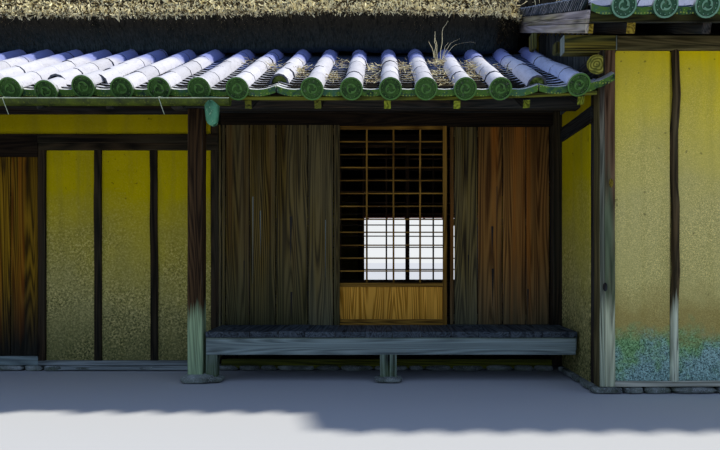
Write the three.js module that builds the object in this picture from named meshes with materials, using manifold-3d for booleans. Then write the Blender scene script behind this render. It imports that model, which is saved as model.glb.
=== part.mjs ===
// Minka farmhouse: a thatched Japanese farmhouse with a tiled pent roof all round, a
// recessed porch closed by sliding doors, and a tiled wing that projects at the right.
// Millimetres, +Z up. While the pieces are made, x = 0 is the middle of the porch's left
// wall post, y = 0 is the outer face of the front wall (+y runs to the back) and z = 0 is
// the ground. The outer group then moves the middle of the whole house to the origin.

import * as THREE from 'three';
import { ConvexGeometry } from 'three/addons/geometries/ConvexGeometry.js';
import { mergeVertices } from 'three/addons/utils/BufferGeometryUtils.js';
import Module from 'manifold-3d';

const wasm = await Module();
wasm.setup();

// Plan
const KEN = 1970;                     // the bay length that the whole plan follows
const QUARTER = KEN / 4;              // spacing of the half posts
const POST = 120;                     // square section of a wall post
const SEAT_GAP = 0.3;                 // left between pieces that rest on each other
const HOUSE_LEFT = -16 * QUARTER - POST / 2;
const HOUSE_RIGHT = 6055;
const HOUSE_DEPTH = 22 * QUARTER + POST;
const CORE_INSET = 970;               // wall face to the posts that carry the thatch
const WING_FACE = -2 * QUARTER;       // the wing's front wall, half a bay forward
const WING_POST = [2969, 3111];       // the wing's stout corner post
const WING_POST_DEPTH = 142;
const RECESS = [60, 2916];            // clear width of the porch's door row
const ENTRANCE = [-7 * QUARTER + 60, -3 * QUARTER - 30];
const BACK_OPENING = [930, 3765];

// Heights
const STONE_TOP = 50;
const SILL_TOP = 90;
const FLOOR_TOP = 390;
const BEAM = [1900, 2037];            // the dark beam along the walls
const PLATE = [2209, 2476];           // the plate on top of the walls
const PORCH_LINTEL = [2115, 2220];
const ENTRANCE_LINTEL = [1840, 2037];
const BACK_OPENING_HEIGHT = [435, 1995];
const WING_PLATE = [2451, 2556.5];

// Walls
const PLASTER = [25, 95];             // plaster depth, measured in from the posts' face
const HALF_POST = 62;
const HALF_POST_FACE = 5;             // how far a half post's face lies behind the posts'
const FRAME_DEPTH = 50;               // how deep the front frames sit in the plaster

// Sliding doors
const DOOR_THICKNESS = 28;
const TRACK_PITCH = 45;
const DOOR_CLEARANCE = 5;
const DOOR_SEAT = 0.5;                // running gap over the threshold
const GROOVE_DEPTH = 15;

// Pent roof, in section: tiles, clay and roof boards as one slab on rafters
const PENT_OVERHANG = 1070;
const PENT_PITCH = 0.44;
const PENT_EAVE = [2066, 2210];
const RAFTER = { width: 50, depth: 60, setBack: 12, batten: 90, battenDepth: 25 };
const PENT_RIGHT_FRONT = -250;        // where the right pent roof starts, beside the wing

// Wing roof
const WING_ROOF_X = [2795, 6305];
const WING_EAVE_Y = -1461;
const WING_PITCH = 0.34;
const WING_EAVE = [2495, 2640];
const WING_RAFTER_DEPTH = 100;

// Thatch at 45 degrees, with its eave cut square to the slope
const THATCH_EDGE = { inset: 264, z: 3143 };
const THATCH_CUT = 222;
const THATCH_NOTCH = { x: 2750, y: 750 };

const FOOTPRINT = {
  x: [HOUSE_LEFT - PENT_OVERHANG, HOUSE_RIGHT + PENT_OVERHANG],
  y: [WING_EAVE_Y, HOUSE_DEPTH + PENT_OVERHANG],
};

// Finishes
const finish = (color, roughness, metalness = 0) =>
  new THREE.MeshStandardMaterial({ color, roughness, metalness });
const FINISHES = {
  plaster: () => finish(0xb9963f, 0.95),
  timber: () => finish(0x2b211b, 0.8),
  weathered: () => finish(0x6d6f72, 0.85),
  boards: () => finish(0x5a4434, 0.75),
  lattice: () => finish(0x8a6134, 0.7),
  tile: () => finish(0x8f9496, 0.6),
  thatch: () => finish(0x9a8a6a, 1),
  stone: () => finish(0x77736a, 0.95),
  gutter: () => finish(0x5b6b52, 0.5),
  copper: () => finish(0x4f8f8a, 0.5, 0.4),
};

const house = new THREE.Group();
house.position.set(-(FOOTPRINT.x[0] + FOOTPRINT.x[1]) / 2, -(FOOTPRINT.y[0] + FOOTPRINT.y[1]) / 2, 0);

// Solids
function solid(geometry) {
  const bare = geometry.index ? geometry.toNonIndexed() : geometry.clone();
  bare.deleteAttribute('normal');
  bare.deleteAttribute('uv');
  const merged = mergeVertices(bare, 1e-3);
  const vertProperties = new Float32Array(merged.attributes.position.array);
  const triVerts = new Uint32Array(merged.index.array);
  return new wasm.Manifold(new wasm.Mesh({ numProp: 3, vertProperties, triVerts }));
}

function bar([x, y, z], grow = 0) {
  const size = [x, y, z].map(([low, high]) => high - low + 2 * grow);
  const box = new THREE.BoxGeometry(...size);
  box.translate((x[0] + x[1]) / 2, (y[0] + y[1]) / 2, (z[0] + z[1]) / 2);
  return solid(box);
}

const convex = (points) => solid(new ConvexGeometry(points.map((p) => new THREE.Vector3(...p))));
const joined = (solids) => solids.reduce((whole, next) => whole.add(next));
const frameOf = (bars) => joined(bars.map((b) => bar(b)));
const pocketsFor = (bars) => joined(bars.map((b) => bar(b, SEAT_GAP)));

// An outline in the plane across one axis, pulled along that axis between two places
function prism(outline, axis, [low, high]) {
  const shape = new THREE.Shape(outline.map(([a, b]) => new THREE.Vector2(a, b)));
  const body = new THREE.ExtrudeGeometry(shape, { depth: high - low, bevelEnabled: false });
  body.translate(0, 0, axis === 'y' ? -high : low);
  if (axis === 'x') {
    body.applyMatrix4(new THREE.Matrix4().set(0, 0, 1, 0, 1, 0, 0, 0, 0, 1, 0, 0, 0, 0, 0, 1));
  } else if (axis === 'y') {
    body.applyMatrix4(new THREE.Matrix4().set(1, 0, 0, 0, 0, 0, -1, 0, 0, 1, 0, 0, 0, 0, 0, 1));
  }
  return solid(body);
}

function addPart(name, body, finishName) {
  const { vertProperties, triVerts } = body.getMesh();
  const geometry = new THREE.BufferGeometry();
  geometry.setAttribute('position', new THREE.Float32BufferAttribute(vertProperties, 3));
  geometry.setIndex(Array.from(triVerts));
  geometry.computeVertexNormals();
  const mesh = new THREE.Mesh(geometry, FINISHES[finishName]());
  mesh.name = name;
  house.add(mesh);
}

const range = (count) => Array.from({ length: count }, (_, index) => index);
const around = (centre, width) => [centre - width / 2, centre + width / 2];
const inside = ([low, high], gap = SEAT_GAP) => [low + gap, high - gap];

// The four ways a wall can face: u runs along it, v runs in from the face of its posts
const facingFront = (face) => (u, v, z) => [u, [face + v[0], face + v[1]], z];
const facingBack = (face) => (u, v, z) => [u, [face - v[1], face - v[0]], z];
const facingLeft = (face) => (u, v, z) => [[face + v[0], face + v[1]], u, z];
const facingRight = (face) => (u, v, z) => [[face - v[1], face - v[0]], u, z];

const FULL_DEPTH = [0, POST];
const PLASTER_FACE = PLASTER[0] - SEAT_GAP;
const SILL = { v: [-5, 100], z: [STONE_TOP + SEAT_GAP, SILL_TOP] };
const LOWER_BEAM = { face: -5, z: [BEAM[0], 1962] };
const UPPER_BEAM = { face: -14, z: [1950, BEAM[1]] };

// Posts, half posts, sill and beam of one wall, as one frame
function wallTimbers(side, { span, endPosts = [], posts = [], halfPosts = [], top, beams, depth }) {
  const uprights = [STONE_TOP + SEAT_GAP, top];
  const bars = [side(span, SILL.v, SILL.z)];
  endPosts.forEach((u) => bars.push(side(u, FULL_DEPTH, uprights)));
  posts.forEach((u) => bars.push(side(around(u, POST), [0, depth], uprights)));
  halfPosts.forEach((u) => bars.push(side(around(u, HALF_POST), [HALF_POST_FACE, depth], uprights)));
  beams.forEach(({ face, z }) => bars.push(side(span, [face, depth], z)));
  return bars;
}

const plasterPanel = (side, u, top) => bar(side(u, PLASTER, [SILL_TOP + SEAT_GAP, top]));

// Foundation: the row of rough stones under every wall
function foundation() {
  const width = [-10, POST + 10];
  const height = [0, STONE_TOP];
  const left = HOUSE_LEFT - 10;
  const right = HOUSE_RIGHT + 10;
  const back = HOUSE_DEPTH + 10;
  return frameOf([
    facingFront(0)([left, WING_POST[1]], width, height),
    facingFront(WING_FACE)([WING_POST[0] - 10, right], width, height),
    facingLeft(WING_POST[0])([WING_FACE - 10, POST], width, height),
    facingLeft(HOUSE_LEFT)([-10, back], width, height),
    facingBack(HOUSE_DEPTH)([left, right], width, height),
    facingRight(HOUSE_RIGHT)([WING_FACE - 10, back], width, height),
  ]);
}

// Front wall, left of the entrance and between the entrance and the porch
const ENTRANCE_LEFT_POST = [ENTRANCE[0] - POST, ENTRANCE[0]];
const ENTRANCE_RIGHT_POST = [ENTRANCE[1], ENTRANCE[1] + 60];
const PORCH_LEFT_POST = [-60, RECESS[0]];
const WALL_TOP = PLATE[0] - SEAT_GAP;

function frontWalls() {
  const side = facingFront(0);
  const leftSpan = [HOUSE_LEFT, ENTRANCE_LEFT_POST[1]];
  const leftBars = wallTimbers(side, {
    span: leftSpan,
    endPosts: [[HOUSE_LEFT, HOUSE_LEFT + POST], ENTRANCE_LEFT_POST],
    posts: [-12 * QUARTER],
    halfPosts: [-15, -14, -13, -11, -10, -9, -8].map((step) => step * QUARTER),
    top: WALL_TOP,
    beams: [LOWER_BEAM, UPPER_BEAM],
    depth: FRAME_DEPTH,
  });
  addPart('front_left_timbers', frameOf(leftBars), 'timber');
  const leftPanel = inside([HOUSE_LEFT + POST, ENTRANCE_LEFT_POST[0]]);
  const leftWall = plasterPanel(side, leftPanel, WALL_TOP).subtract(pocketsFor(leftBars));
  addPart('front_left_wall', leftWall, 'plaster');

  const middleBars = wallTimbers(side, {
    span: [ENTRANCE_RIGHT_POST[0], PORCH_LEFT_POST[1]],
    endPosts: [ENTRANCE_RIGHT_POST, PORCH_LEFT_POST],
    halfPosts: [-1000, -520],
    top: WALL_TOP,
    beams: [LOWER_BEAM, UPPER_BEAM],
    depth: FRAME_DEPTH,
  });
  addPart('front_middle_timbers', frameOf(middleBars), 'timber');
  const middlePanel = inside([ENTRANCE_RIGHT_POST[1], PORCH_LEFT_POST[0]]);
  const middleWall = plasterPanel(side, middlePanel, WALL_TOP).subtract(pocketsFor(middleBars));
  addPart('front_middle_wall', middleWall, 'plaster');

  const plate = [
    [[HOUSE_LEFT, RECESS[0]], FULL_DEPTH, PLATE],
    [[0, RECESS[1] - SEAT_GAP], FULL_DEPTH, [PORCH_LINTEL[1] + SEAT_GAP, PLATE[1]]],
  ];
  addPart('front_top_plate', frameOf(plate), 'timber');
}

// A sliding door's thickness on one of the tracks, the first one nearest the outside
const track = (index, first) => {
  const near = first + index * TRACK_PITCH;
  return [near, near + DOOR_THICKNESS];
};

// A lintel with one groove for each track cut along its underside
function groovedLintel(x, y, z, tracks) {
  const grooves = tracks.map(([near, far]) => bar([
    [x[0] - 1, x[1] + 1],
    [near - DOOR_CLEARANCE, far + DOOR_CLEARANCE],
    [z[0] - 1, z[0] + GROOVE_DEPTH],
  ]));
  return bar([x, y, z]).subtract(joined(grooves));
}

// Entrance: threshold, lintel, the plaster over it and two sliding board doors
const ENTRANCE_TRACKS = range(2).map((index) => track(index, 12));
const ENTRANCE_THRESHOLD_TOP = 130;
const ENTRANCE_LEAF = 960;

function entrance() {
  const x = inside(ENTRANCE);
  const threshold = bar([x, [0, 97], [STONE_TOP + SEAT_GAP, ENTRANCE_THRESHOLD_TOP]]);
  addPart('entrance_threshold', threshold, 'timber');
  addPart('entrance_lintel', groovedLintel(x, [-8, POST], ENTRANCE_LINTEL, ENTRANCE_TRACKS), 'timber');
  addPart('entrance_head_wall', bar([x, PLASTER, inside([ENTRANCE_LINTEL[1], PLATE[0]])]), 'plaster');
  const leafHeight = [
    ENTRANCE_THRESHOLD_TOP + DOOR_SEAT,
    ENTRANCE_LINTEL[0] + GROOVE_DEPTH - DOOR_CLEARANCE,
  ];
  const right = [ENTRANCE[1] - DOOR_CLEARANCE - ENTRANCE_LEAF, ENTRANCE[1] - DOOR_CLEARANCE];
  const left = [ENTRANCE[0] + DOOR_CLEARANCE, ENTRANCE[0] + DOOR_CLEARANCE + ENTRANCE_LEAF];
  addPart('entrance_door_right', bar([right, ENTRANCE_TRACKS[0], leafHeight]), 'boards');
  addPart('entrance_door_left', bar([left, ENTRANCE_TRACKS[1], leafHeight]), 'boards');
}

// A lattice door: stiles, rails and a plain lower panel round a grid of thin bars
const LATTICE = {
  width: 980,
  uprights: [284, 516, 747],
  stile: 36,
  bottomRail: 50,
  panelTop: 727,
  middleRailTop: 759,
  topRail: 45,
  rows: 12,
  bar: 16,
  crossBar: 12,
  barDepth: 14,
  panelDepth: 8,
};

function latticeDoor(left, y, z) {
  const right = left + LATTICE.width;
  const middle = (y[0] + y[1]) / 2;
  const barY = around(middle, LATTICE.barDepth);
  const gridTop = z[1] - LATTICE.topRail;
  const bars = [
    [[left, left + LATTICE.stile], y, z],
    [[right - LATTICE.stile, right], y, z],
    [[left, right], y, [gridTop, z[1]]],
    [[left, right], y, [LATTICE.panelTop, LATTICE.middleRailTop]],
    [[left, right], y, [z[0], z[0] + LATTICE.bottomRail]],
    [[left, right], around(middle, LATTICE.panelDepth), [z[0], LATTICE.panelTop + 5]],
  ];
  LATTICE.uprights.forEach((offset) => {
    bars.push([around(left + offset, LATTICE.bar), barY, [LATTICE.panelTop, z[1]]]);
  });
  const pitch = (gridTop - LATTICE.middleRailTop) / LATTICE.rows;
  range(LATTICE.rows - 1).forEach((row) => {
    const height = LATTICE.middleRailTop + (row + 1) * pitch;
    bars.push([[left, right], barY, around(height, LATTICE.crossBar)]);
  });
  return frameOf(bars);
}

// Porch: threshold and lintel of the door row, three doors, floor, post and eave beam
const PORCH_TRACKS = range(3).map((index) => track(index, 8));
const DOOR_ROW = [0, 134];
const PORCH_THRESHOLD_DEPTH = 90;
const DOOR_EDGES = { boardLeft: 1087, lattice: 1031, boardRight: 2037 };

function porchDoors() {
  const x = inside(RECESS);
  const threshold = [FLOOR_TOP - PORCH_THRESHOLD_DEPTH, FLOOR_TOP];
  addPart('porch_threshold', bar([x, DOOR_ROW, threshold]), 'boards');
  addPart('porch_lintel', groovedLintel(x, DOOR_ROW, PORCH_LINTEL, PORCH_TRACKS), 'timber');
  const z = [FLOOR_TOP + DOOR_SEAT, PORCH_LINTEL[0] + GROOVE_DEPTH - DOOR_CLEARANCE];
  const leftLeaf = [RECESS[0] + DOOR_CLEARANCE, DOOR_EDGES.boardLeft];
  const rightLeaf = [DOOR_EDGES.boardRight, RECESS[1] - DOOR_CLEARANCE];
  addPart('board_door_left', bar([leftLeaf, PORCH_TRACKS[0], z]), 'boards');
  addPart('lattice_door', latticeDoor(DOOR_EDGES.lattice, PORCH_TRACKS[1], z), 'lattice');
  addPart('board_door_right', bar([rightLeaf, PORCH_TRACKS[2], z]), 'boards');
}

const PORCH_POST = { x: [-62, 56], y: [-551, -433] };
const PORCH_FLOOR = { x: [63, 2990], front: -552, thickness: 40 };
const PORCH_FRAME = { fascia: [218, 35], legs: [[63, 154], [1434, 1564]], joists: [110, 1500, 2940] };
const EAVE_BEAM = { z: [2136, 2234], left: -190 };

function porch() {
  const postHeight = [0, EAVE_BEAM.z[0] - SEAT_GAP];
  addPart('porch_post', bar([PORCH_POST.x, PORCH_POST.y, postHeight]), 'weathered');
  const eaveBeamX = [EAVE_BEAM.left, WING_POST[0] + PLASTER[0] - SEAT_GAP];
  addPart('porch_eave_beam', bar([eaveBeamX, PORCH_POST.y, EAVE_BEAM.z]), 'timber');

  const { x, front, thickness } = PORCH_FLOOR;
  const deckBottom = FLOOR_TOP - thickness;
  addPart('porch_floor', bar([x, [front, -SEAT_GAP], [deckBottom, FLOOR_TOP]]), 'weathered');
  const [fasciaBottom, fasciaDepth] = PORCH_FRAME.fascia;
  const frameTop = deckBottom - SEAT_GAP;
  const bars = [
    [x, [front, front + fasciaDepth], [fasciaBottom, frameTop]],
    [x, [-60, -SEAT_GAP], [frameTop - 90, frameTop]],
    ...PORCH_FRAME.legs.map((legX) => [legX, [front, front + 90], [0, fasciaBottom + 20]]),
    ...PORCH_FRAME.joists.map((middle) => (
      [around(middle, 70), [front, -SEAT_GAP], [frameTop - 100, frameTop]]
    )),
  ];
  addPart('porch_floor_frame', frameOf(bars), 'weathered');
}

// Right end of the porch and the wing
const PORCH_RIGHT_POST = [RECESS[1], RECESS[1] + POST];
const LOG = { x: 2970, z: 2350, diameter: 130, y: [WING_FACE - 75, -0.4] };

function logSolid(grow = 0) {
  const length = LOG.y[1] - LOG.y[0] + 2 * grow;
  const log = new THREE.CylinderGeometry(LOG.diameter / 2 + grow, LOG.diameter / 2 + grow, length, 14);
  log.translate(LOG.x, (LOG.y[0] + LOG.y[1]) / 2, LOG.z);
  return solid(log);
}

const wingUnderside = (y) => WING_EAVE[0] - WING_RAFTER_DEPTH + WING_PITCH * (y - WING_EAVE_Y);

function wing() {
  const logPocket = logSolid(SEAT_GAP);
  const postHeight = [STONE_TOP + SEAT_GAP, PLATE[1]];
  addPart('porch_right_post', bar([PORCH_RIGHT_POST, FULL_DEPTH, postHeight]), 'timber');
  const cornerPost = bar([
    WING_POST,
    [WING_FACE, WING_FACE + WING_POST_DEPTH],
    [STONE_TOP + SEAT_GAP, WING_PLATE[0] - SEAT_GAP],
  ]);
  addPart('wing_corner_post', cornerPost.subtract(logPocket), 'weathered');
  addPart('wing_log_beam', logSolid(), 'weathered');

  const returnSide = facingLeft(WING_POST[0]);
  const returnY = inside([WING_FACE + WING_POST_DEPTH, 0]);
  const returnBars = [
    returnSide([returnY[0], returnY[0] + 60], [6, 50], [STONE_TOP + SEAT_GAP, 2200]),
    returnSide(returnY, [12, 50], [1965, 2087]),
  ];
  addPart('return_timbers', frameOf(returnBars), 'timber');
  const returnPanel = bar(returnSide(returnY, PLASTER, [STONE_TOP + SEAT_GAP, GABLE_FOOT + 5]));
  const returnWall = returnPanel.add(wingGable([WING_POST[0] + PLASTER[0], WING_POST[0] + PLASTER[1]]));
  addPart('return_wall', returnWall.subtract(pocketsFor(returnBars)).subtract(logPocket), 'plaster');

  const side = facingFront(WING_FACE);
  const rightPost = [HOUSE_RIGHT - POST, HOUSE_RIGHT];
  const bars = wallTimbers(side, {
    span: [WING_POST[1] + SEAT_GAP, HOUSE_RIGHT],
    endPosts: [rightPost],
    halfPosts: range(5).map((step) => 3542 + step * QUARTER),
    top: WING_PLATE[0] + 1,
    beams: [],
    depth: FRAME_DEPTH,
  });
  bars.push([[2734, HOUSE_RIGHT + 240], [WING_FACE, WING_FACE + POST], WING_PLATE]);
  addPart('wing_front_timbers', frameOf(bars), 'timber');
  const panel = inside([WING_POST[1], rightPost[0]]);
  const wall = plasterPanel(side, panel, WING_PLATE[0] - SEAT_GAP).subtract(pocketsFor(bars));
  addPart('wing_front_wall', wall, 'plaster');
}

// The triangles of wall between the pent roof and the wing roof
const GABLE_FOOT = PLATE[1] + SEAT_GAP;

function wingGable(x) {
  const low = GABLE_FOOT;
  const y = [WING_FACE + POST + SEAT_GAP, CORE_INSET - SEAT_GAP];
  const outline = [
    [y[0], low],
    [y[1], low],
    [y[1], wingUnderside(y[1]) - SEAT_GAP],
    [y[0], wingUnderside(y[0]) - SEAT_GAP],
  ];
  return prism(outline, 'x', x);
}

// Right, back and left walls, whose plates carry the roof boards directly
function farWalls() {
  const top = PENT_EAVE[0] + PENT_PITCH * PENT_OVERHANG - SEAT_GAP;
  const postsAlong = (start, steps) => steps.map((step) => start + step * QUARTER);
  const between = (count, keep) => range(count).map((step) => step + 1).filter(keep);
  const isPost = (step) => step % 4 === 0;
  const plate = (side, u) => side(u, [0, PLASTER_FACE], [PLATE[0], top]);

  const sideSpan = inside([POST, HOUSE_DEPTH - POST]);
  const grid = POST / 2;
  [['left', facingLeft(HOUSE_LEFT), sideSpan, grid, 21],
    ['right', facingRight(HOUSE_RIGHT), [WING_FACE + POST + SEAT_GAP, sideSpan[1]], WING_FACE + grid, 23],
  ].forEach(([name, side, span, start, count]) => {
    const bars = wallTimbers(side, {
      span,
      posts: postsAlong(start, between(count, isPost)),
      halfPosts: postsAlong(start, between(count, (step) => !isPost(step))),
      top,
      beams: [UPPER_BEAM],
      depth: PLASTER_FACE,
    });
    bars.push(plate(side, span));
    addPart(`${name}_timbers`, frameOf(bars), 'timber');
    const panel = plasterPanel(side, span, top);
    const gableX = [HOUSE_RIGHT - PLASTER[1], HOUSE_RIGHT - PLASTER[0]];
    addPart(`${name}_wall`, name === 'right' ? panel.add(wingGable(gableX)) : panel, 'plaster');
  });

  const side = facingBack(HOUSE_DEPTH);
  const jambs = [[BACK_OPENING[0] - POST, BACK_OPENING[0]], [BACK_OPENING[1], BACK_OPENING[1] + POST]];
  const corners = [[HOUSE_LEFT, HOUSE_LEFT + POST], [HOUSE_RIGHT - POST, HOUSE_RIGHT]];
  const nearJamb = (u) => u > jambs[0][0] - 200 && u < jambs[1][1] + 200;
  const all = between(27, () => true).filter((step) => !nearJamb(HOUSE_LEFT + grid + step * QUARTER));
  const bars = wallTimbers(side, {
    span: [HOUSE_LEFT, HOUSE_RIGHT],
    endPosts: [...corners, ...jambs],
    posts: postsAlong(HOUSE_LEFT + grid, all.filter(isPost)),
    halfPosts: postsAlong(HOUSE_LEFT + grid, all.filter((step) => !isPost(step))),
    top,
    beams: [],
    depth: PLASTER_FACE,
  });
  const [low, high] = BACK_OPENING_HEIGHT;
  [[HOUSE_LEFT, BACK_OPENING[0]], [BACK_OPENING[1], HOUSE_RIGHT]].forEach((span) => {
    bars.push(side(span, [UPPER_BEAM.face, PLASTER_FACE], UPPER_BEAM.z));
  });
  bars.push(side(BACK_OPENING, [0, 100], [high, 2110]));
  bars.push(side(BACK_OPENING, [30, 60], [2110, PLATE[0]]));
  bars.push(side(BACK_OPENING, [20, 80], [SILL_TOP - 5, low - 40]));
  bars.push(side(BACK_OPENING, [0, POST], [low - 45, low]));
  bars.push(plate(side, [HOUSE_LEFT, HOUSE_RIGHT]));
  addPart('back_timbers', frameOf(bars), 'timber');
  const leftPanel = inside([corners[0][1], jambs[0][0]]);
  const rightPanel = inside([jambs[1][1], corners[1][0]]);
  addPart('back_left_wall', plasterPanel(side, leftPanel, top), 'plaster');
  addPart('back_right_wall', plasterPanel(side, rightPanel, top), 'plaster');
}

// The posts and plates inside that carry the thatch
const CORE_POST = 130;
const CORE_X = [HOUSE_LEFT + CORE_INSET, HOUSE_RIGHT - CORE_INSET];
const CORE_Y = [CORE_INSET, HOUSE_DEPTH - CORE_INSET];
const INNER_POSTS = [[-65, 65], [2890, 3020]];
const thatchUnderside = (inset) => THATCH_EDGE.z - 2 * THATCH_CUT + (inset - THATCH_EDGE.inset);
const CORE_TOP = thatchUnderside(CORE_INSET) - SEAT_GAP;

function coreFrame() {
  const bars = [];
  const lineX = [[CORE_X[0], CORE_X[0] + CORE_POST], [CORE_X[1] - CORE_POST, CORE_X[1]]];
  const lineY = [[CORE_Y[0], CORE_Y[0] + CORE_POST], [CORE_Y[1] - CORE_POST, CORE_Y[1]]];
  const levels = [[2860, 3000], [3230, CORE_TOP]];
  levels.forEach((z) => {
    lineX.forEach((x) => bars.push([x, CORE_Y, z]));
    lineY.forEach((y) => bars.push([CORE_X, y, z]));
  });
  const postZ = [0, CORE_TOP];
  lineY.forEach((y) => {
    const postX = [lineX[0], around(-7 * QUARTER, CORE_POST), ...INNER_POSTS, lineX[1]];
    postX.forEach((x) => bars.push([x, y, postZ]));
  });
  const middle = around((CORE_Y[0] + CORE_Y[1]) / 2, CORE_POST);
  lineX.forEach((x) => bars.push([x, middle, postZ]));
  addPart('core_frame', frameOf(bars), 'timber');
}

// The second line of lattice doors, half a bay behind the first
const INNER_TRACKS = range(2).map((index) => track(index, CORE_INSET + 30));
const INNER_LEAVES = [740, 1680];     // where each inner door's left edge stands
const INNER_JAMB = 30;
const INNER_THRESHOLD = 15;

function innerDoors() {
  const x = [INNER_POSTS[0][1] + SEAT_GAP, INNER_POSTS[1][0] - SEAT_GAP];
  const y = [CORE_INSET + 15, CORE_INSET + 115];
  const z = [FLOOR_TOP + SEAT_GAP, PORCH_LINTEL[1]];
  const thresholdTop = z[0] + INNER_THRESHOLD;
  const frame = frameOf([
    [x, y, [z[0], thresholdTop]],
    [[x[0], x[0] + INNER_JAMB], y, z],
    [[x[1] - INNER_JAMB, x[1]], y, z],
  ]).add(groovedLintel(inside(x, 1), y, PORCH_LINTEL, INNER_TRACKS));
  addPart('inner_frame', frame, 'timber');
  const leaf = [thresholdTop + DOOR_SEAT, PORCH_LINTEL[0] + GROOVE_DEPTH - DOOR_CLEARANCE];
  addPart('inner_lattice_left', latticeDoor(INNER_LEAVES[0], INNER_TRACKS[0], leaf), 'lattice');
  addPart('inner_lattice_right', latticeDoor(INNER_LEAVES[1], INNER_TRACKS[1], leaf), 'lattice');
}

// The raised floor of the rooms and the beams under it, each on its row of short posts
const FLOOR_BEAM = { places: [115, 1990, 3870, 5750], width: 90, bottom: 230, posts: 6 };

function roomFloor() {
  const left = INNER_POSTS[0][1] + 1;
  const right = HOUSE_RIGHT - PLASTER[1] - 5;
  const back = HOUSE_DEPTH - POST - 5;
  const boardZ = [FLOOR_TOP - 40, FLOOR_TOP];
  const wingLeft = WING_POST[0] + PLASTER[1] + 5;
  const corePosts = [
    [INNER_POSTS[1], [CORE_Y[0], CORE_Y[0] + CORE_POST], boardZ],
    [INNER_POSTS[1], [CORE_Y[1] - CORE_POST, CORE_Y[1]], boardZ],
    [[CORE_X[1] - CORE_POST, CORE_X[1]], [CORE_Y[0], CORE_Y[0] + CORE_POST], boardZ],
    [[CORE_X[1] - CORE_POST, CORE_X[1]], [CORE_Y[1] - CORE_POST, CORE_Y[1]], boardZ],
    [[CORE_X[1] - CORE_POST, CORE_X[1]], around((CORE_Y[0] + CORE_Y[1]) / 2, CORE_POST), boardZ],
  ];
  const floor = frameOf([
    [[left, right], [DOOR_ROW[1] + SEAT_GAP, back], boardZ],
    [[wingLeft, right], [WING_FACE + WING_POST_DEPTH + 5, DOOR_ROW[1] + 50], boardZ],
  ]).subtract(pocketsFor(corePosts));
  addPart('room_floor', floor, 'boards');

  const beamZ = [FLOOR_BEAM.bottom, boardZ[0] - SEAT_GAP];
  FLOOR_BEAM.places.forEach((place, index) => {
    const x = around(place, FLOOR_BEAM.width);
    const from = place < WING_POST[0] ? DOOR_ROW[1] + 10 : WING_FACE + WING_POST_DEPTH + 10;
    const to = back - 15;
    const step = (to - from - FLOOR_BEAM.width) / (FLOOR_BEAM.posts - 1);
    const posts = range(FLOOR_BEAM.posts).map((post) => {
      const y = from + post * step;
      return [x, [y, y + FLOOR_BEAM.width], [0, FLOOR_BEAM.bottom + 30]];
    });
    addPart(`floor_beam_${index + 1}`, frameOf([[x, [from, to], beamZ], ...posts]), 'timber');
  });
}

// Roofs
const pentRise = PENT_PITCH * (PENT_OVERHANG + CORE_INSET - SEAT_GAP);
const MITRE = SEAT_GAP;

// One side of the pent roof from its eave corners and its corners at the core posts
function pentSlab(eave, head) {
  const points = [];
  [[eave, 0], [head, pentRise]].forEach(([line, rise]) => {
    line.forEach(([x, y]) => PENT_EAVE.forEach((z) => points.push([x, y, z + rise])));
  });
  return convex(points);
}

// Rafters under one side of the pent roof, joined by the batten along their lower ends
function pentRafters(side, places, limits) {
  const out = RAFTER.setBack - PENT_OVERHANG;
  const underside = (v) => PENT_EAVE[0] - SEAT_GAP + PENT_PITCH * (v + PENT_OVERHANG);
  const sloped = (u, v, depth) => {
    const corners = [];
    u.forEach((along) => v.forEach((across) => [0, depth].forEach((drop) => {
      const [x, y] = side([along, along], [across, across], [0, 0]);
      corners.push([x[0], y[0], underside(across) - drop]);
    })));
    return convex(corners);
  };
  const rafters = places.map((u) => {
    const reach = Math.min(CORE_INSET - 1, limits.from(u), limits.to(u));
    return sloped(around(u, RAFTER.width), [out, reach], RAFTER.depth);
  });
  const batten = [places[0] - RAFTER.width / 2, places[places.length - 1] + RAFTER.width / 2];
  return joined([sloped(batten, [out, out + RAFTER.batten], RAFTER.battenDepth), ...rafters]);
}

const FRONT_ROOF_END = WING_POST[0] - SEAT_GAP;
const FRONT_RAFTERS = { lastEven: 2475, beside: 2860 };
const WING_RAFTERS = { width: 70, outer: [2830, 6265], first: 3037, count: 7, setBack: 30 };
const VERGE_BOARD = { z: [2440, 2572], thickness: 25, setBack: 15 };

function pentRoofs() {
  const [x0, x1] = FOOTPRINT.x;
  const eaveBack = HOUSE_DEPTH + PENT_OVERHANG;
  const eaveFront = -PENT_OVERHANG;
  const headX = [CORE_X[0] - SEAT_GAP, CORE_X[1] + SEAT_GAP];
  const headY = [CORE_Y[0] - SEAT_GAP, CORE_Y[1] + SEAT_GAP];
  const logPocket = logSolid(SEAT_GAP);
  const front = pentSlab(
    [[x0 + MITRE, eaveFront], [FRONT_ROOF_END, eaveFront]],
    [[headX[0] + MITRE, headY[0]], [FRONT_ROOF_END, headY[0]]],
  );
  addPart('pent_roof_front', front.subtract(logPocket), 'tile');
  const left = pentSlab([[x0, eaveFront], [x0, eaveBack]], [[headX[0], headY[0]], [headX[0], headY[1]]]);
  addPart('pent_roof_left', left, 'tile');
  const back = pentSlab(
    [[x0 + MITRE, eaveBack], [x1 - MITRE, eaveBack]],
    [[headX[0] + MITRE, headY[1]], [headX[1] - MITRE, headY[1]]],
  );
  addPart('pent_roof_back', back, 'tile');
  const right = pentSlab(
    [[x1, PENT_RIGHT_FRONT], [x1, eaveBack]],
    [[headX[1], PENT_RIGHT_FRONT], [headX[1], headY[1]]],
  );
  const underWing = bar([
    [headX[1] - 10, HOUSE_RIGHT + SEAT_GAP],
    [PENT_RIGHT_FRONT - 10, CORE_INSET + SEAT_GAP],
    [2000, 3400],
  ]);
  addPart('pent_roof_right', right.subtract(underWing), 'tile');
}

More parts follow.
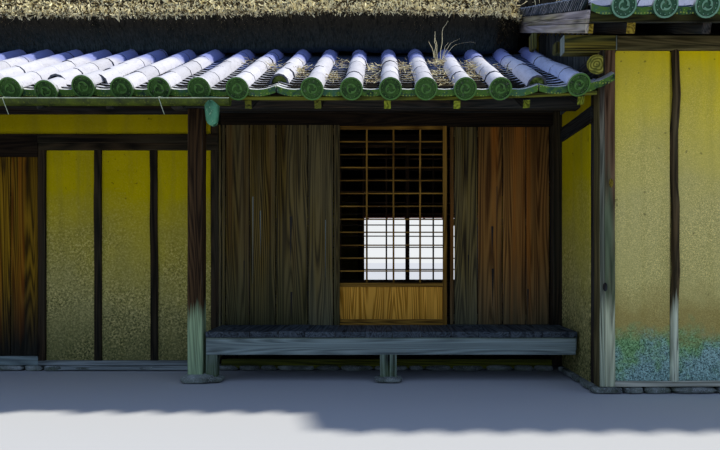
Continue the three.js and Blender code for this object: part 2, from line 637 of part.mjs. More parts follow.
function frontRafters() {
  const open = () => Infinity;
  const fromLeft = (u) => u - HOUSE_LEFT - RAFTER.width;
  const evenPlaces = range(22).map((step) => FRONT_RAFTERS.lastEven - step * QUARTER).reverse();
  const places = [...evenPlaces, FRONT_RAFTERS.beside];
  addPart('front_rafters', pentRafters(facingFront(0), places, { from: fromLeft, to: open }), 'timber');
}

function wingRoof() {
  const head = CORE_INSET - SEAT_GAP;
  const rise = WING_PITCH * (head - WING_EAVE_Y);
  const section = ([low, high], shift = 0) => [
    [WING_EAVE_Y + shift, low + WING_PITCH * shift],
    [head, low + rise],
    [head, high + rise],
    [WING_EAVE_Y + shift, high + WING_PITCH * shift],
  ];
  addPart('wing_roof', prism(section(WING_EAVE), 'x', WING_ROOF_X), 'tile');
  const under = [WING_EAVE[0] - WING_RAFTER_DEPTH, WING_EAVE[0] - SEAT_GAP];
  const { width, outer, first, count, setBack } = WING_RAFTERS;
  const battenEnds = [setBack, setBack + RAFTER.batten].map((out) => [
    WING_EAVE_Y + out,
    under[1] + WING_PITCH * out,
  ]);
  const battenUnder = battenEnds.map(([y, z]) => [y, z - RAFTER.battenDepth]).reverse();
  const battenX = [WING_ROOF_X[0] - 20, WING_ROOF_X[1] + 20];
  const batten = prism([...battenEnds, ...battenUnder], 'x', battenX);
  const places = [outer[0], ...range(count).map((step) => first + step * QUARTER), outer[1]];
  const rafters = places.map((x) => prism(section(under, setBack), 'x', around(x, width)));
  const verge = section(VERGE_BOARD.z, VERGE_BOARD.setBack);
  const vergeBoards = [
    [WING_ROOF_X[0] - VERGE_BOARD.thickness, WING_ROOF_X[0] - SEAT_GAP],
    [WING_ROOF_X[1] + SEAT_GAP, WING_ROOF_X[1] + VERGE_BOARD.thickness],
  ].map((x) => prism(verge, 'x', x));
  addPart('wing_rafters', joined([batten, ...rafters, ...vergeBoards]), 'timber');
}

// Half of the ridge's section, from the peak of the thatch, and its reach past the peak's ends
const RIDGE = {
  half: [[0, 0], [430, -430], [430, -330], [170, -30], [170, 170], [60, 250]],
  reach: 220,
};

// Thatch: four mitred slopes, cut away over the wing roof, and the tiled ridge on top
function thatchRoof() {
  const middle = HOUSE_DEPTH / 2;
  const rings = [
    { inset: THATCH_EDGE.inset, z: THATCH_EDGE.z },
    { inset: THATCH_EDGE.inset + THATCH_CUT, z: THATCH_EDGE.z - THATCH_CUT },
  ];
  const peak = ({ inset, z }) => z + middle - inset;
  const slope = (corners, tops) => convex(rings.flatMap((ring) => [
    ...corners(ring.inset).map(([x, y]) => [x, y, ring.z]),
    ...tops.map(([x, y]) => [x, y, peak(ring)]),
  ]));
  const ridgeX = [HOUSE_LEFT + middle, HOUSE_RIGHT - middle];
  const long = (edge, ridgeY) => slope(
    (inset) => [[HOUSE_LEFT + inset + MITRE, edge(inset)], [HOUSE_RIGHT - inset - MITRE, edge(inset)]],
    ridgeX.map((x, index) => [x + (index ? -MITRE : MITRE), ridgeY]),
  );
  const short = (edge, ridge) => slope(
    (inset) => [[edge(inset), inset], [edge(inset), HOUSE_DEPTH - inset]],
    [[ridge, middle]],
  );
  const wingTop = (y) => WING_EAVE[1] + SEAT_GAP + WING_PITCH * (y - WING_EAVE_Y);
  const overWing = prism([
    [0, 2800],
    [CORE_INSET, 2800],
    [CORE_INSET, wingTop(CORE_INSET)],
    [THATCH_NOTCH.y, wingTop(THATCH_NOTCH.y)],
    [THATCH_NOTCH.y, 4000],
    [0, 4000],
  ], 'x', [THATCH_NOTCH.x, HOUSE_RIGHT + 100]);
  const right = short((inset) => HOUSE_RIGHT - inset, ridgeX[1]).subtract(overWing);
  addPart('thatch_front', long((inset) => inset, middle - MITRE).subtract(overWing), 'thatch');
  addPart('thatch_back', long((inset) => HOUSE_DEPTH - inset, middle + MITRE), 'thatch');
  addPart('thatch_left', short((inset) => HOUSE_LEFT + inset, ridgeX[0]), 'thatch');
  addPart('thatch_right', right, 'thatch');

  const ridge = peak(rings[0]) + SEAT_GAP;
  const mirrored = RIDGE.half.slice(1).reverse().map(([y, z]) => [-y, z]);
  const profile = [...RIDGE.half, ...mirrored].map(([y, z]) => [middle + y, ridge + z]);
  addPart('ridge_cap', prism(profile, 'x', [ridgeX[0] - RIDGE.reach, ridgeX[1] + RIDGE.reach]), 'tile');

  // The small wall that closes the wing's loft above the right pent roof
  const pentTop = (x) => PENT_EAVE[1] + SEAT_GAP + PENT_PITCH * (HOUSE_RIGHT + PENT_OVERHANG - x);
  const wallX = [HOUSE_RIGHT - 480, HOUSE_RIGHT + 20];
  const loftTop = wingTop(CORE_INSET) - 30;
  const loft = prism([
    [wallX[0], pentTop(wallX[0])],
    [wallX[1], pentTop(wallX[1])],
    [wallX[1], loftTop],
    [wallX[0], loftTop],
  ], 'y', [CORE_INSET + SEAT_GAP, CORE_INSET + 40]);
  const clear = right.translate([2 * SEAT_GAP, 0, 0]);
  addPart('wing_loft_wall', loft.subtract(right).subtract(clear), 'weathered');
}

// Gutter along the front eave, up to the porch, with its copper spout
const GUTTER = { radius: 43, wall: 4, rim: 2072, x: [HOUSE_LEFT, 400] };
const SPOUT = {
  wall: 3,
  mouth: { x: [214, 330], halfDepth: 42 },
  foot: { x: [236, 306], halfDepth: 30, z: [1885, 1925] },
};

function gutter() {
  const middleY = -PENT_OVERHANG - SEAT_GAP - GUTTER.radius;
  const halfRound = (radius, lift) => range(9).map((step) => {
    const angle = Math.PI + (Math.PI * step) / 8;
    return [middleY + radius * Math.cos(angle), GUTTER.rim + lift + radius * Math.sin(angle)];
  });
  const inner = GUTTER.radius - GUTTER.wall;
  const channelX = inside(GUTTER.x, GUTTER.wall);
  const trough = prism(halfRound(GUTTER.radius, 0), 'x', GUTTER.x);
  const channel = prism(halfRound(inner, 0.01), 'x', channelX);
  const open = bar([channelX, around(middleY, 2 * inner), [GUTTER.rim - 1, GUTTER.rim + 5]]);
  addPart('gutter', trough.subtract(channel).subtract(open), 'gutter');

  const { wall, mouth, foot } = SPOUT;
  const mouthZ = GUTTER.rim - GUTTER.radius - SEAT_GAP;
  const funnel = (shrink, lift) => {
    const level = ({ x, halfDepth }, z) => inside(x, shrink).flatMap((px, index) => (
      around(middleY, 2 * (halfDepth - shrink)).map((py) => [px, py, z[index]])
    ));
    return convex([
      ...level(mouth, [mouthZ + lift, mouthZ + lift]),
      ...level(foot, foot.z.map((z) => z - lift)),
    ]);
  };
  addPart('gutter_spout', funnel(0, 0).subtract(funnel(wall, 1)), 'copper');
}

addPart('foundation_stones', foundation(), 'stone');
frontWalls();
entrance();
porchDoors();
porch();
wing();
farWalls();
coreFrame();
innerDoors();
roomFloor();
pentRoofs();
frontRafters();
wingRoof();
thatchRoof();
gutter();

const farmhouse = new THREE.Group();
farmhouse.add(house);
farmhouse.updateMatrixWorld(true);

export default farmhouse;
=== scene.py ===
"""Looks of the minka farmhouse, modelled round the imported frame: tiled pent roofs, thatch, timbers,
doors, earth walls, stones and gutter, each in a finish of its own.

While pieces are made, lengths are metres, x = 0 is the middle of the porch's left wall post, y = 0 is
the outer face of the front wall and z = 0 is the ground. Pile.piece moves them into the frame."""

import math
import random

import bmesh
import bpy
import numpy as np
from bpy.props import FloatProperty, FloatVectorProperty, IntProperty, PointerProperty
from mathutils import Matrix, Vector, noise


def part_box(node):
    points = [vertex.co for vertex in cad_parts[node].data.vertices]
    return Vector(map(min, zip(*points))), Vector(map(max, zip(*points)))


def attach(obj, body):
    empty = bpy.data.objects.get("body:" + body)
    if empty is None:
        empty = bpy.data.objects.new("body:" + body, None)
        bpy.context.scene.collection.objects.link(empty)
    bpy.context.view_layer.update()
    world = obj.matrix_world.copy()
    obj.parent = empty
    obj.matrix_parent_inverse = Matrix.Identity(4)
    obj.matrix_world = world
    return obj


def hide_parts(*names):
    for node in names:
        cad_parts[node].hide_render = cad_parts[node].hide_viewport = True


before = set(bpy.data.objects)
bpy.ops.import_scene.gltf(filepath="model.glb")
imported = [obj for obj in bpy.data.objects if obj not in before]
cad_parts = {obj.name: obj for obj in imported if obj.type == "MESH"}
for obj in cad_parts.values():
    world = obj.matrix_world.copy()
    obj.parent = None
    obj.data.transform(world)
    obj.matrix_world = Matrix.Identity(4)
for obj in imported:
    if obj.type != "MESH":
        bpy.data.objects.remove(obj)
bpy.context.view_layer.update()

bl_info = {
    "name": "Minka Farmhouse",
    "version": (1, 0, 0),
    "blender": (4, 5, 0),
    "location": "View3D > Sidebar > Farmhouse",
    "description": "Models the tiles, thatch, timbers and doors of a farmhouse round its frame",
    "category": "Object",
}

# Plan
KEN = 1.97
QUARTER = KEN / 4
POST = 0.12
HALF_POST = 0.062
SEAT_GAP = 0.0003
HOUSE_LEFT = -16 * QUARTER - POST / 2
HOUSE_RIGHT = 6.055
HOUSE_DEPTH = 22 * QUARTER + POST
WING_FACE = -2 * QUARTER
RETURN_FACE = 2.969
CORE_INSET = 0.97
ENTRANCE = (-3.3875, -1.5075)
BACK_OPENING = (0.93, 3.765)
PLAN_SHIFT = Vector((
    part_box("porch_threshold")[0].x - POST / 2 - SEAT_GAP,
    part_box("front_top_plate")[0].y,
    0,
))

# Heights
STONE_TOP = 0.05
SILL_TOP = 0.09
BEAM = (1.9, 1.962, 2.037)
WALL_TOP = 2.209
PLATE_TOP = 2.476
SILL_WEAR = 0.0025          # what the doors have worn off the thresholds they slide on

# Pent roof and wing roof
OVERHANG = 1.07
PENT_PITCH = 0.44
PENT_EAVE = 2.066
PENT_AXIS = 2.158
WING_ROOF = (2.795, 6.305)
WING_EAVE_Y = -1.461
WING_PITCH = 0.34
WING_AXIS = 2.59

# Edge of the thatch, where its slope meets the cut of the eave
EDGE_INSET = 0.264
EDGE_Z = 3.143

# Blender's noise vectors start from the clock unless they are seeded
NOISE_SEED = 7

X, Y, Z = Vector((1, 0, 0)), Vector((0, 1, 0)), Vector((0, 0, 1))


def plan_box(node):
    """The lowest and highest corner of a CAD node, in plan metres."""
    low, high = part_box(node)
    return low - PLAN_SHIFT, high - PLAN_SHIFT


# Shapes and piles


class Shape:
    """A small solid made with bmesh, kept as arrays so that it can be laid many times."""

    def __init__(self, bm):
        bm.verts.index_update()
        worn = bm.faces.layers.int.get("worn")
        self.points = np.array([v.co for v in bm.verts])
        self.counts = np.array([len(f.verts) for f in bm.faces])
        self.corners = np.array([v.index for f in bm.faces for v in f.verts])
        self.worn = np.repeat([f[worn] if worn else 0 for f in bm.faces], self.counts)
        bm.free()


class Pile:
    """Gathers laid shapes into the one mesh of a piece, each with its own grain and tint. Its seed is a
    number, or the piece's name and a number that is added to what the name gives."""

    def __init__(self, seed, more=0):
        self.rng = random.Random((sum(map(ord, seed)) if isinstance(seed, str) else seed) + more)
        self.points, self.grain, self.tint = [], [], []
        self.corners, self.counts, self.worn, self.part = [], [], [], []
        self.size = 0

    def lay(self, shape, matrix, part=0, tint=None, centred=False):
        """Adds one copy of the shape. part is the index of its finish in the piece's list, and centred
        keeps its grain about its own middle."""
        rows = np.array(matrix)
        offset = [0 if centred else self.rng.uniform(-9, 9) for _ in range(3)]
        shade = self.rng.random() if tint is None else tint
        self.points.append(shape.points @ rows[:3, :3].T + rows[:3, 3])
        self.grain.append(shape.points + offset)
        self.tint.append(np.full(len(shape.points), shade))
        self.corners.append(shape.corners + self.size)
        self.counts.append(shape.counts)
        self.worn.append(shape.worn)
        self.part.append(np.full(len(shape.counts), part))
        self.size += len(shape.points)

    def piece(self, name, finishes, slot, body="root", replaced=(), sharp=40):
        """Makes the piece from what was laid, moves it into the frame and joins it to its body."""
        points = np.concatenate(self.points) + np.array(PLAN_SHIFT)
        corners = np.concatenate(self.corners)
        counts = np.concatenate(self.counts)
        mesh = bpy.data.meshes.new(name)
        mesh.vertices.add(len(points))
        mesh.vertices.foreach_set("co", points.ravel())
        mesh.loops.add(len(corners))
        mesh.loops.foreach_set("vertex_index", corners)
        mesh.polygons.add(len(counts))
        mesh.polygons.foreach_set("loop_start", np.concatenate(([0], np.cumsum(counts)[:-1])))
        mesh.polygons.foreach_set("material_index", np.concatenate(self.part))
        mesh.update(calc_edges=True)
        add_values(mesh, "grain", "FLOAT_VECTOR", "POINT", np.concatenate(self.grain))
        add_values(mesh, "tint", "FLOAT", "POINT", np.concatenate(self.tint))
        add_values(mesh, "worn", "FLOAT", "CORNER", np.concatenate(self.worn))
        add_piece(name, mesh, finishes, body, replaced, sharp)


def add_values(mesh, name, kind, domain, values):
    """Stores one value for each point or corner of the mesh, for its finish to read."""
    attribute = mesh.attributes.new(name, kind, domain)
    attribute.data.foreach_set("vector" if kind == "FLOAT_VECTOR" else "value", np.ravel(values))


def add_object(name, data):
    thing = bpy.data.objects.new(name, data)
    bpy.context.scene.collection.objects.link(thing)
    return thing


def add_piece(name, mesh, finishes, body, replaced, sharp):
    """Links a finished mesh as a piece that rides on its body. Edges over the angle sharp stay hard."""
    mesh.shade_smooth()
    mesh.set_sharp_from_angle(angle=math.radians(sharp))
    piece = add_object(name, mesh)
    for finish in finishes:
        mesh.materials.append(bpy.data.materials[finish])
    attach(piece, body)
    if replaced:
        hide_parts(*replaced)


def cut_through(bm, place, normal, **keep):
    """Cuts a whole mesh along a plane."""
    everything = bm.verts[:] + bm.edges[:] + bm.faces[:]
    bmesh.ops.bisect_plane(bm, geom=everything, plane_co=place, plane_no=normal, **keep)


def cut_rings(bm, length, rings):
    """Cuts rings of points across a bar that lies along X about its middle."""
    for ring in range(rings):
        cut_through(bm, (length * ((ring + 1) / (rings + 1) - 0.5), 0, 0), X)


def trim(bm, place, normal):
    """Takes off what lies beyond a plane and closes the cut."""
    cut_through(bm, place, normal, clear_outer=True)
    bmesh.ops.holes_fill(bm, edges=bm.edges, sides=0)
    bmesh.ops.recalc_face_normals(bm, faces=bm.faces)


def pull_out(bm, made, step):
    """Moves the points that an extrusion has made."""
    points = [v for v in made["geom"] if isinstance(v, bmesh.types.BMVert)]
    bmesh.ops.translate(bm, verts=points, vec=step)
    return points


def thicken(bm, thickness):
    """Gives an open shell its thickness, with its faces turned outwards."""
    bmesh.ops.recalc_face_normals(bm, faces=bm.faces)
    bmesh.ops.solidify(bm, geom=bm.faces[:], thickness=thickness)
    bmesh.ops.recalc_face_normals(bm, faces=bm.faces)


def new_rod(length, radius, far_radius, segments, middle=0.0):
    """Starts a mesh with a rod along X, which may taper."""
    bm = bmesh.new()
    bmesh.ops.create_cone(
        bm, cap_ends=True, segments=segments, radius1=radius, radius2=far_radius, depth=length,
        matrix=Matrix.Translation((middle, 0, 0)) @ Matrix.Rotation(math.pi / 2, 4, "Y"),
    )
    return bm


def new_half_tube(radius, segments, side):
    """Starts a mesh with half a circle, upright and square to Y: its upper or its lower half."""
    bm = bmesh.new()
    bmesh.ops.create_circle(bm, cap_ends=False, radius=radius, segments=segments)
    bmesh.ops.delete(bm, geom=[v for v in bm.verts if v.co.y * side < -1e-4], context="VERTS")
    bmesh.ops.rotate(bm, verts=bm.verts, matrix=Matrix.Rotation(math.pi / 2, 3, "X"))
    return bm


def new_copy(node):
    """Starts a mesh with a CAD node's solid, its faces joined to plain flat ones."""
    bm = bmesh.new()
    bm.from_mesh(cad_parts[node].data)
    bmesh.ops.remove_doubles(bm, verts=bm.verts, dist=1e-5)
    bmesh.ops.dissolve_limit(bm, angle_limit=math.radians(1), verts=bm.verts, edges=bm.edges)
    return bm


def timber_shape(size, chamfer=0.004, rings=0, wane=0.0, seed=0.0):
    """A bar with its grain along X. Rings of points let its faces waver by wane, as hewn wood does."""
    bm = bmesh.new()
    bmesh.ops.create_cube(bm, size=1, matrix=Matrix.Diagonal((*size, 1)))
    worn = bm.faces.layers.int.new("worn")
    made = bmesh.ops.bevel(
        bm, geom=bm.edges[:], offset=min(chamfer, min(size) / 4), segments=1,
        affect="EDGES", profile=0.5, material=-1,
    )
    for face in made["faces"]:
        face[worn] = 1
    cut_rings(bm, size[0], rings)
    if wane:
        waver(bm, wane, seed)
    return Shape(bm)


def waver(bm, wane, seed):
    """Moves every point across the grain by a smooth noise along it."""
    for point in bm.verts:
        drift = noise.noise_vector(Vector((point.co.x * 1.7 + seed, seed, 0)))
        local = noise.noise_vector(point.co * 5 + Vector((seed, 0, 0)))
        point.co.y += wane * (drift.y + 0.35 * local.y)
        point.co.z += wane * (drift.z + 0.35 * local.z)


def log_shape(length, radius, rings, crook, seed, segments=10):
    """A thin peeled log along X, a little crooked."""
    bm = new_rod(length, radius, radius * 0.93, segments)
    cut_rings(bm, length, rings)
    waver(bm, crook, seed)
    return Shape(bm)


def trimmed_log_shape(length, radius, flat):
    """A log along X with one side hewn flat, so far from its middle."""
    bm = new_rod(length, radius, radius, 22)
    trim(bm, (0, -flat, 0), -Y)
    return Shape(bm)


def stone_shape(size, seed, detail=2):
    """A rough field stone, squared a little and flat underneath."""
    bm = bmesh.new()
    bmesh.ops.create_icosphere(bm, subdivisions=detail, radius=1)
    for point in bm.verts:
        point.co = Vector([math.copysign(abs(value) ** 0.55, value) for value in point.co])
        point.co += 0.13 * noise.noise_vector(point.co * 1.3 + Vector((seed, 0, 0)))
        point.co += 0.05 * noise.noise_vector(point.co * 4 + Vector((seed, 5, 0)))
    low = Vector([min(point.co[axis] for point in bm.verts) for axis in range(3)])
    high = Vector([max(point.co[axis] for point in bm.verts) for axis in range(3)])
    for point in bm.verts:
        for axis in range(3):
            share = (point.co[axis] - low[axis]) / (high[axis] - low[axis])
            point.co[axis] = (share - 0.5) * size[axis]
    return Shape(bm)


TURN_TO = (
    Matrix.Identity(4),
    Matrix.Rotation(math.pi / 2, 4, "Z"),
    Matrix.Rotation(-math.pi / 2, 4, "Y"),
)


def lay_bar(pile, x, y, z, along=None, chamfer=0.004, rings=0, wane=0.0, part=0, tint=None):
    """Lays a bar in the box between the given limits, its grain along its longest side."""
    low, high = map(Vector, zip(x, y, z))
    size = high - low
    axis = "xyz".index(along) if along else max(range(3), key=lambda side: size[side])
    turn = TURN_TO[axis]
    local = [abs(value) for value in turn.inverted() @ size]
    shape = timber_shape(local, chamfer, rings, wane, pile.rng.uniform(0, 50))
    pile.lay(shape, Matrix.Translation((low + high) / 2) @ turn, part, tint)


def lay_node_bar(pile, node, wear=0.0, **bar):
    """Lays a bar that fills a CAD node's box, with its top worn down a little."""
    low, high = plan_box(node)
    lay_bar(pile, (low.x, high.x), (low.y, high.y), (low.z, high.z - wear), **bar)


def around(centre, width):
    """The limits of a width about its centre."""
    return centre - width / 2, centre + width / 2


def lay_boards(pile, limits, y, z, width, gap=0.002, uneven=0.0015, part=0, **bar):
    """Lays upright boards side by side between two places along x, each of about the given width."""
    count = max(1, round((limits[1] - limits[0]) / width))
    seams = [limits[0] + (limits[1] - limits[0]) * step / count for step in range(count + 1)]
    inner = [seam + pile.rng.uniform(-0.12, 0.12) * width for seam in seams[1:-1]]
    lay_seamed_boards(pile, [seams[0], *inner, seams[-1]], y, z, [(part, None)], gap, uneven, **bar)


def lay_seamed_boards(pile, seams, y, z, looks, gap=0.002, uneven=0.0015, **bar):
    """Lays a board between each two seams. looks gives each board's finish and tint in turn."""
    for index, (left, right) in enumerate(zip(seams, seams[1:])):
        shift = pile.rng.uniform(0, uneven)
        face = (y[0] + shift, y[1] - uneven + shift)
        part, tint = looks[index % len(looks)]
        lay_bar(pile, (left + gap / 2, right - gap / 2), face, z, "z", part=part, tint=tint, **bar)


# Node groups and finishes


def linear(code):
    """A colour's linear values from its usual six-digit code."""
    parts = [int(code[place:place + 2], 16) / 255 for place in (0, 2, 4)]
    return tuple(part / 12.92 if part <= 0.04045 else ((part + 0.055) / 1.055) ** 2.4 for part in parts)


def dimmed(colour, share):
    return tuple(share * part for part in colour)


class Wiring:
    """Puts nodes in one node tree and links them as they are made."""

    def __init__(self, tree):
        self.tree = tree

    def put(self, kind, sockets=None, **settings):
        """A new node with its settings, and its sockets given a link, a value or a colour's code."""
        node = self.tree.nodes.new("ShaderNode" + kind)
        for name, value in settings.items():
            setattr(node, name, value)
        self.join(node, sockets or {})
        return node

    def join(self, node, sockets):
        for key, value in sockets.items():
            socket = node.inputs[key]
            if isinstance(value, bpy.types.NodeSocket):
                self.tree.links.new(value, socket)
            elif socket.type == "RGBA":
                socket.default_value = (*(linear(value) if isinstance(value, str) else value), 1)
            else:
                socket.default_value = value

    def value(self, name):
        """A stored value of the piece: tint or worn."""
        return self.put("Attribute", attribute_name=name).outputs["Fac"]

    def grain(self):
        return self.put("Attribute", attribute_name="grain").outputs["Vector"]

    def place(self):
        return self.put("TexCoord").outputs["Object"]

    def noise(self, vector, scale, detail=4.0, roughness=0.55, distortion=0.0):
        sockets = {
            "Vector": vector, "Scale": scale, "Detail": detail,
            "Roughness": roughness, "Distortion": distortion,
        }
        return self.put("TexNoise", sockets).outputs["Fac"]

    def stretch(self, vector, scale):
        return self.put("Mapping", {"Vector": vector, "Scale": scale}).outputs["Vector"]

    def math(self, operation, first, second=0.0, clamp=False):
        node = self.put("Math", {0: first, 1: second}, operation=operation, use_clamp=clamp)
        return node.outputs["Value"]

    def times(self, first, second):
        return self.math("MULTIPLY", first, second)

    def plus(self, first, second):
        return self.math("ADD", first, second)

    def around_zero(self, value, share):
        """A noise as a shift up and down, by so much in all."""
        return self.times(self.math("SUBTRACT", value, 0.5), share)

    def span(self, value, low, high, to_low=0.0, to_high=1.0):
        sockets = {
            "Value": value, "From Min": low, "From Max": high, "To Min": to_low, "To Max": to_high,
        }
        return self.put("MapRange", sockets).outputs["Result"]

    def mix(self, share, first, second, blend="MIX"):
        node = self.put("Mix", data_type="RGBA", blend_type=blend)
        self.join(node, {0: share, 6: first, 7: second})
        return node.outputs[2]

    def shade(self, colour, shares):
        """The colour times a share for red, green and blue each, or times one for all of them."""
        shares = shares if isinstance(shares, list) else [shares] * 3
        channels = dict(zip(("Red", "Green", "Blue"), shares))
        tone = self.put("CombineColor", channels).outputs["Color"]
        return self.mix(1.0, colour, tone, "MULTIPLY")

    def bump(self, height, distance, strength=1.0):
        node = self.put("Bump", {"Height": height, "Distance": distance, "Strength": strength})
        return node.outputs["Normal"]

    def axes(self, vector=None):
        """The three parts of a vector. Without one they are the point's place, with Z its height."""
        return self.put("SeparateXYZ", {"Vector": vector or self.place()}).outputs

    def upward(self):
        """How far a face points up."""
        return self.axes(self.put("NewGeometry").outputs["Normal"])["Z"]

    def group(self, name, sockets):
        node = self.put("Group", node_tree=bpy.data.node_groups[name])
        self.join(node, sockets)
        return node.outputs


def shared_group(name, inputs, outputs, build):
    """Makes a node group that several finishes use. build returns what each output shows."""
    tree = bpy.data.node_groups.new(name, "ShaderNodeTree")
    for label, kind, default in inputs:
        socket = tree.interface.new_socket(label, in_out="INPUT", socket_type="NodeSocket" + kind)
        if default is not None:
            socket.default_value = default
    for label, kind in outputs:
        tree.interface.new_socket(label, in_out="OUTPUT", socket_type="NodeSocket" + kind)
    wiring = Wiring(tree)
    start = tree.nodes.new("NodeGroupInput").outputs
    end = tree.nodes.new("NodeGroupOutput")
    wiring.join(end, build(wiring, start))


def build_timber_grain(w, given):
    """Streaks along the grain, the pointed lines of flat-sawn boards, dark checks and knots."""
    grain = given["Grain"]
    streaks = w.noise(w.stretch(grain, (0.9, 62, 62)), 1, 6, 0.66, 0.15)
    bands = w.noise(w.stretch(grain, (0.3, 14, 14)), 1, 3, 0.5, 0.4)
    fine = w.noise(w.stretch(grain, (3.5, 150, 150)), 1, 2, 0.5)
    contour = w.noise(w.stretch(grain, (0.3, 6, 6)), 1, 1.5, 0.4, 0.15)
    lines = w.times(w.math("PINGPONG", w.times(contour, 24), 0.5), 2)
    checks = w.span(w.noise(w.stretch(grain, (0.9, 55, 55)), 1, 3, 0.6, 0.2), 0.58, 0.65)
    cells = w.put("TexVoronoi", {"Vector": w.stretch(grain, (1.3, 5.5, 5.5)), "Scale": 1.0})
    rare = w.span(w.noise(w.stretch(grain, (1.3, 5.5, 5.5)), 0.6, 1), 0.5, 0.6)
    knots = w.times(w.span(cells.outputs["Distance"], 0.17, 0.05), rare)
    figure = w.around_zero(lines, given["Figure"])
    streak = w.plus(w.times(streaks, 0.5), w.times(bands, 0.3))
    streak = w.plus(w.plus(streak, 0.1), figure)
    relief = w.plus(w.times(streaks, 0.5), w.times(fine, 0.25))
    relief = w.math("SUBTRACT", relief, w.times(checks, 0.6))
    heart = w.span(w.noise(w.stretch(grain, (0.22, 8, 8)), 1, 2, 0.5), 0.56, 0.68)
    return {
        "Streak": w.span(streak, 0.38, 0.61), "Checks": checks, "Knots": knots, "Heart": heart,
        "Height": relief,
    }


def build_edge_wear(w, given):
    """Where a worn edge shows a paler colour, broken up by a noise."""
    patches = w.span(w.noise(w.stretch(given["Grain"], (6, 30, 30)), 1, 3), 0.4, 0.62)
    kept = w.math("MAXIMUM", patches, w.math("SUBTRACT", 1.0, given["Patchy"]))
    return {"Wear": w.times(w.times(given["Edge"], kept), given["Amount"])}


def build_growth(w, given):
    """Moss that creeps up from the ground or along a damp edge, and pale lichen spots."""
    place = given["Place"]
    edge = w.noise(place, 3.5, 5, 0.65)
    level = w.plus(given["Height"], w.around_zero(edge, given["Reach"]))
    damp = w.span(w.math("DIVIDE", level, given["Reach"]), 1.0, 0.25)
    patch = w.span(w.noise(place, 9, 6, 0.7), 0.36, 0.6)
    spots = w.span(w.noise(place, 38, 3, 0.6), 0.57, 0.64)
    return {
        "Moss": w.times(damp, patch),
        "Damp": damp,
        "Lichen": w.times(spots, w.span(edge, 0.42, 0.6)),
    }


def build_reeds(w, given):
    """Fibres that run down the slope of the thatch, in clumps."""
    grain = given["Grain"]
    fibres = w.noise(w.stretch(grain, (9, 90, 90)), 1, 5, 0.65, 0.4)
    clumps = w.noise(w.stretch(grain, (6, 22, 22)), 1, 4, 0.65, 0.6)
    patches = w.noise(w.stretch(grain, (0.35, 0.6, 0.6)), 1, 3, 0.6)
    return {
        "Fibres": w.span(fibres, 0.34, 0.66),
        "Clumps": w.span(clumps, 0.36, 0.62),
        "Patches": w.span(patches, 0.35, 0.65),
        "Height": w.plus(w.times(fibres, 0.6), w.times(clumps, 1.2)),
    }


def make_groups():
    grain = ("Grain", "Vector", None)
    shared_group(
        "timber grain", [grain, ("Figure", "Float", 0.2)],
        [(name, "Float") for name in ("Streak", "Checks", "Knots", "Heart", "Height")],
        build_timber_grain,
    )
    shared_group(
        "edge wear",
        [grain, ("Edge", "Float", 0.0), ("Amount", "Float", 0.5), ("Patchy", "Float", 1.0)],
        [("Wear", "Float")], build_edge_wear,
    )
    shared_group(
        "moss and lichen",
        [("Place", "Vector", None), ("Height", "Float", 0.0), ("Reach", "Float", 0.5)],
        [("Moss", "Float"), ("Damp", "Float"), ("Lichen", "Float")], build_growth,
    )
    shared_group(
        "reeds", [grain],
        [("Fibres", "Float"), ("Clumps", "Float"), ("Patches", "Float"), ("Height", "Float")],
        build_reeds,
    )


def new_finish(name, roughness, gloss=0.1):
    """A material with its own roughness and gloss. Old dry surfaces keep little of the usual gloss."""
    material = bpy.data.materials.new(name)
    material.use_nodes = True
    shader = material.node_tree.nodes["Principled BSDF"]
    shader.inputs["Roughness"].default_value = roughness
    shader.inputs["Specular IOR Level"].default_value = gloss
    return Wiring(material.node_tree), shader


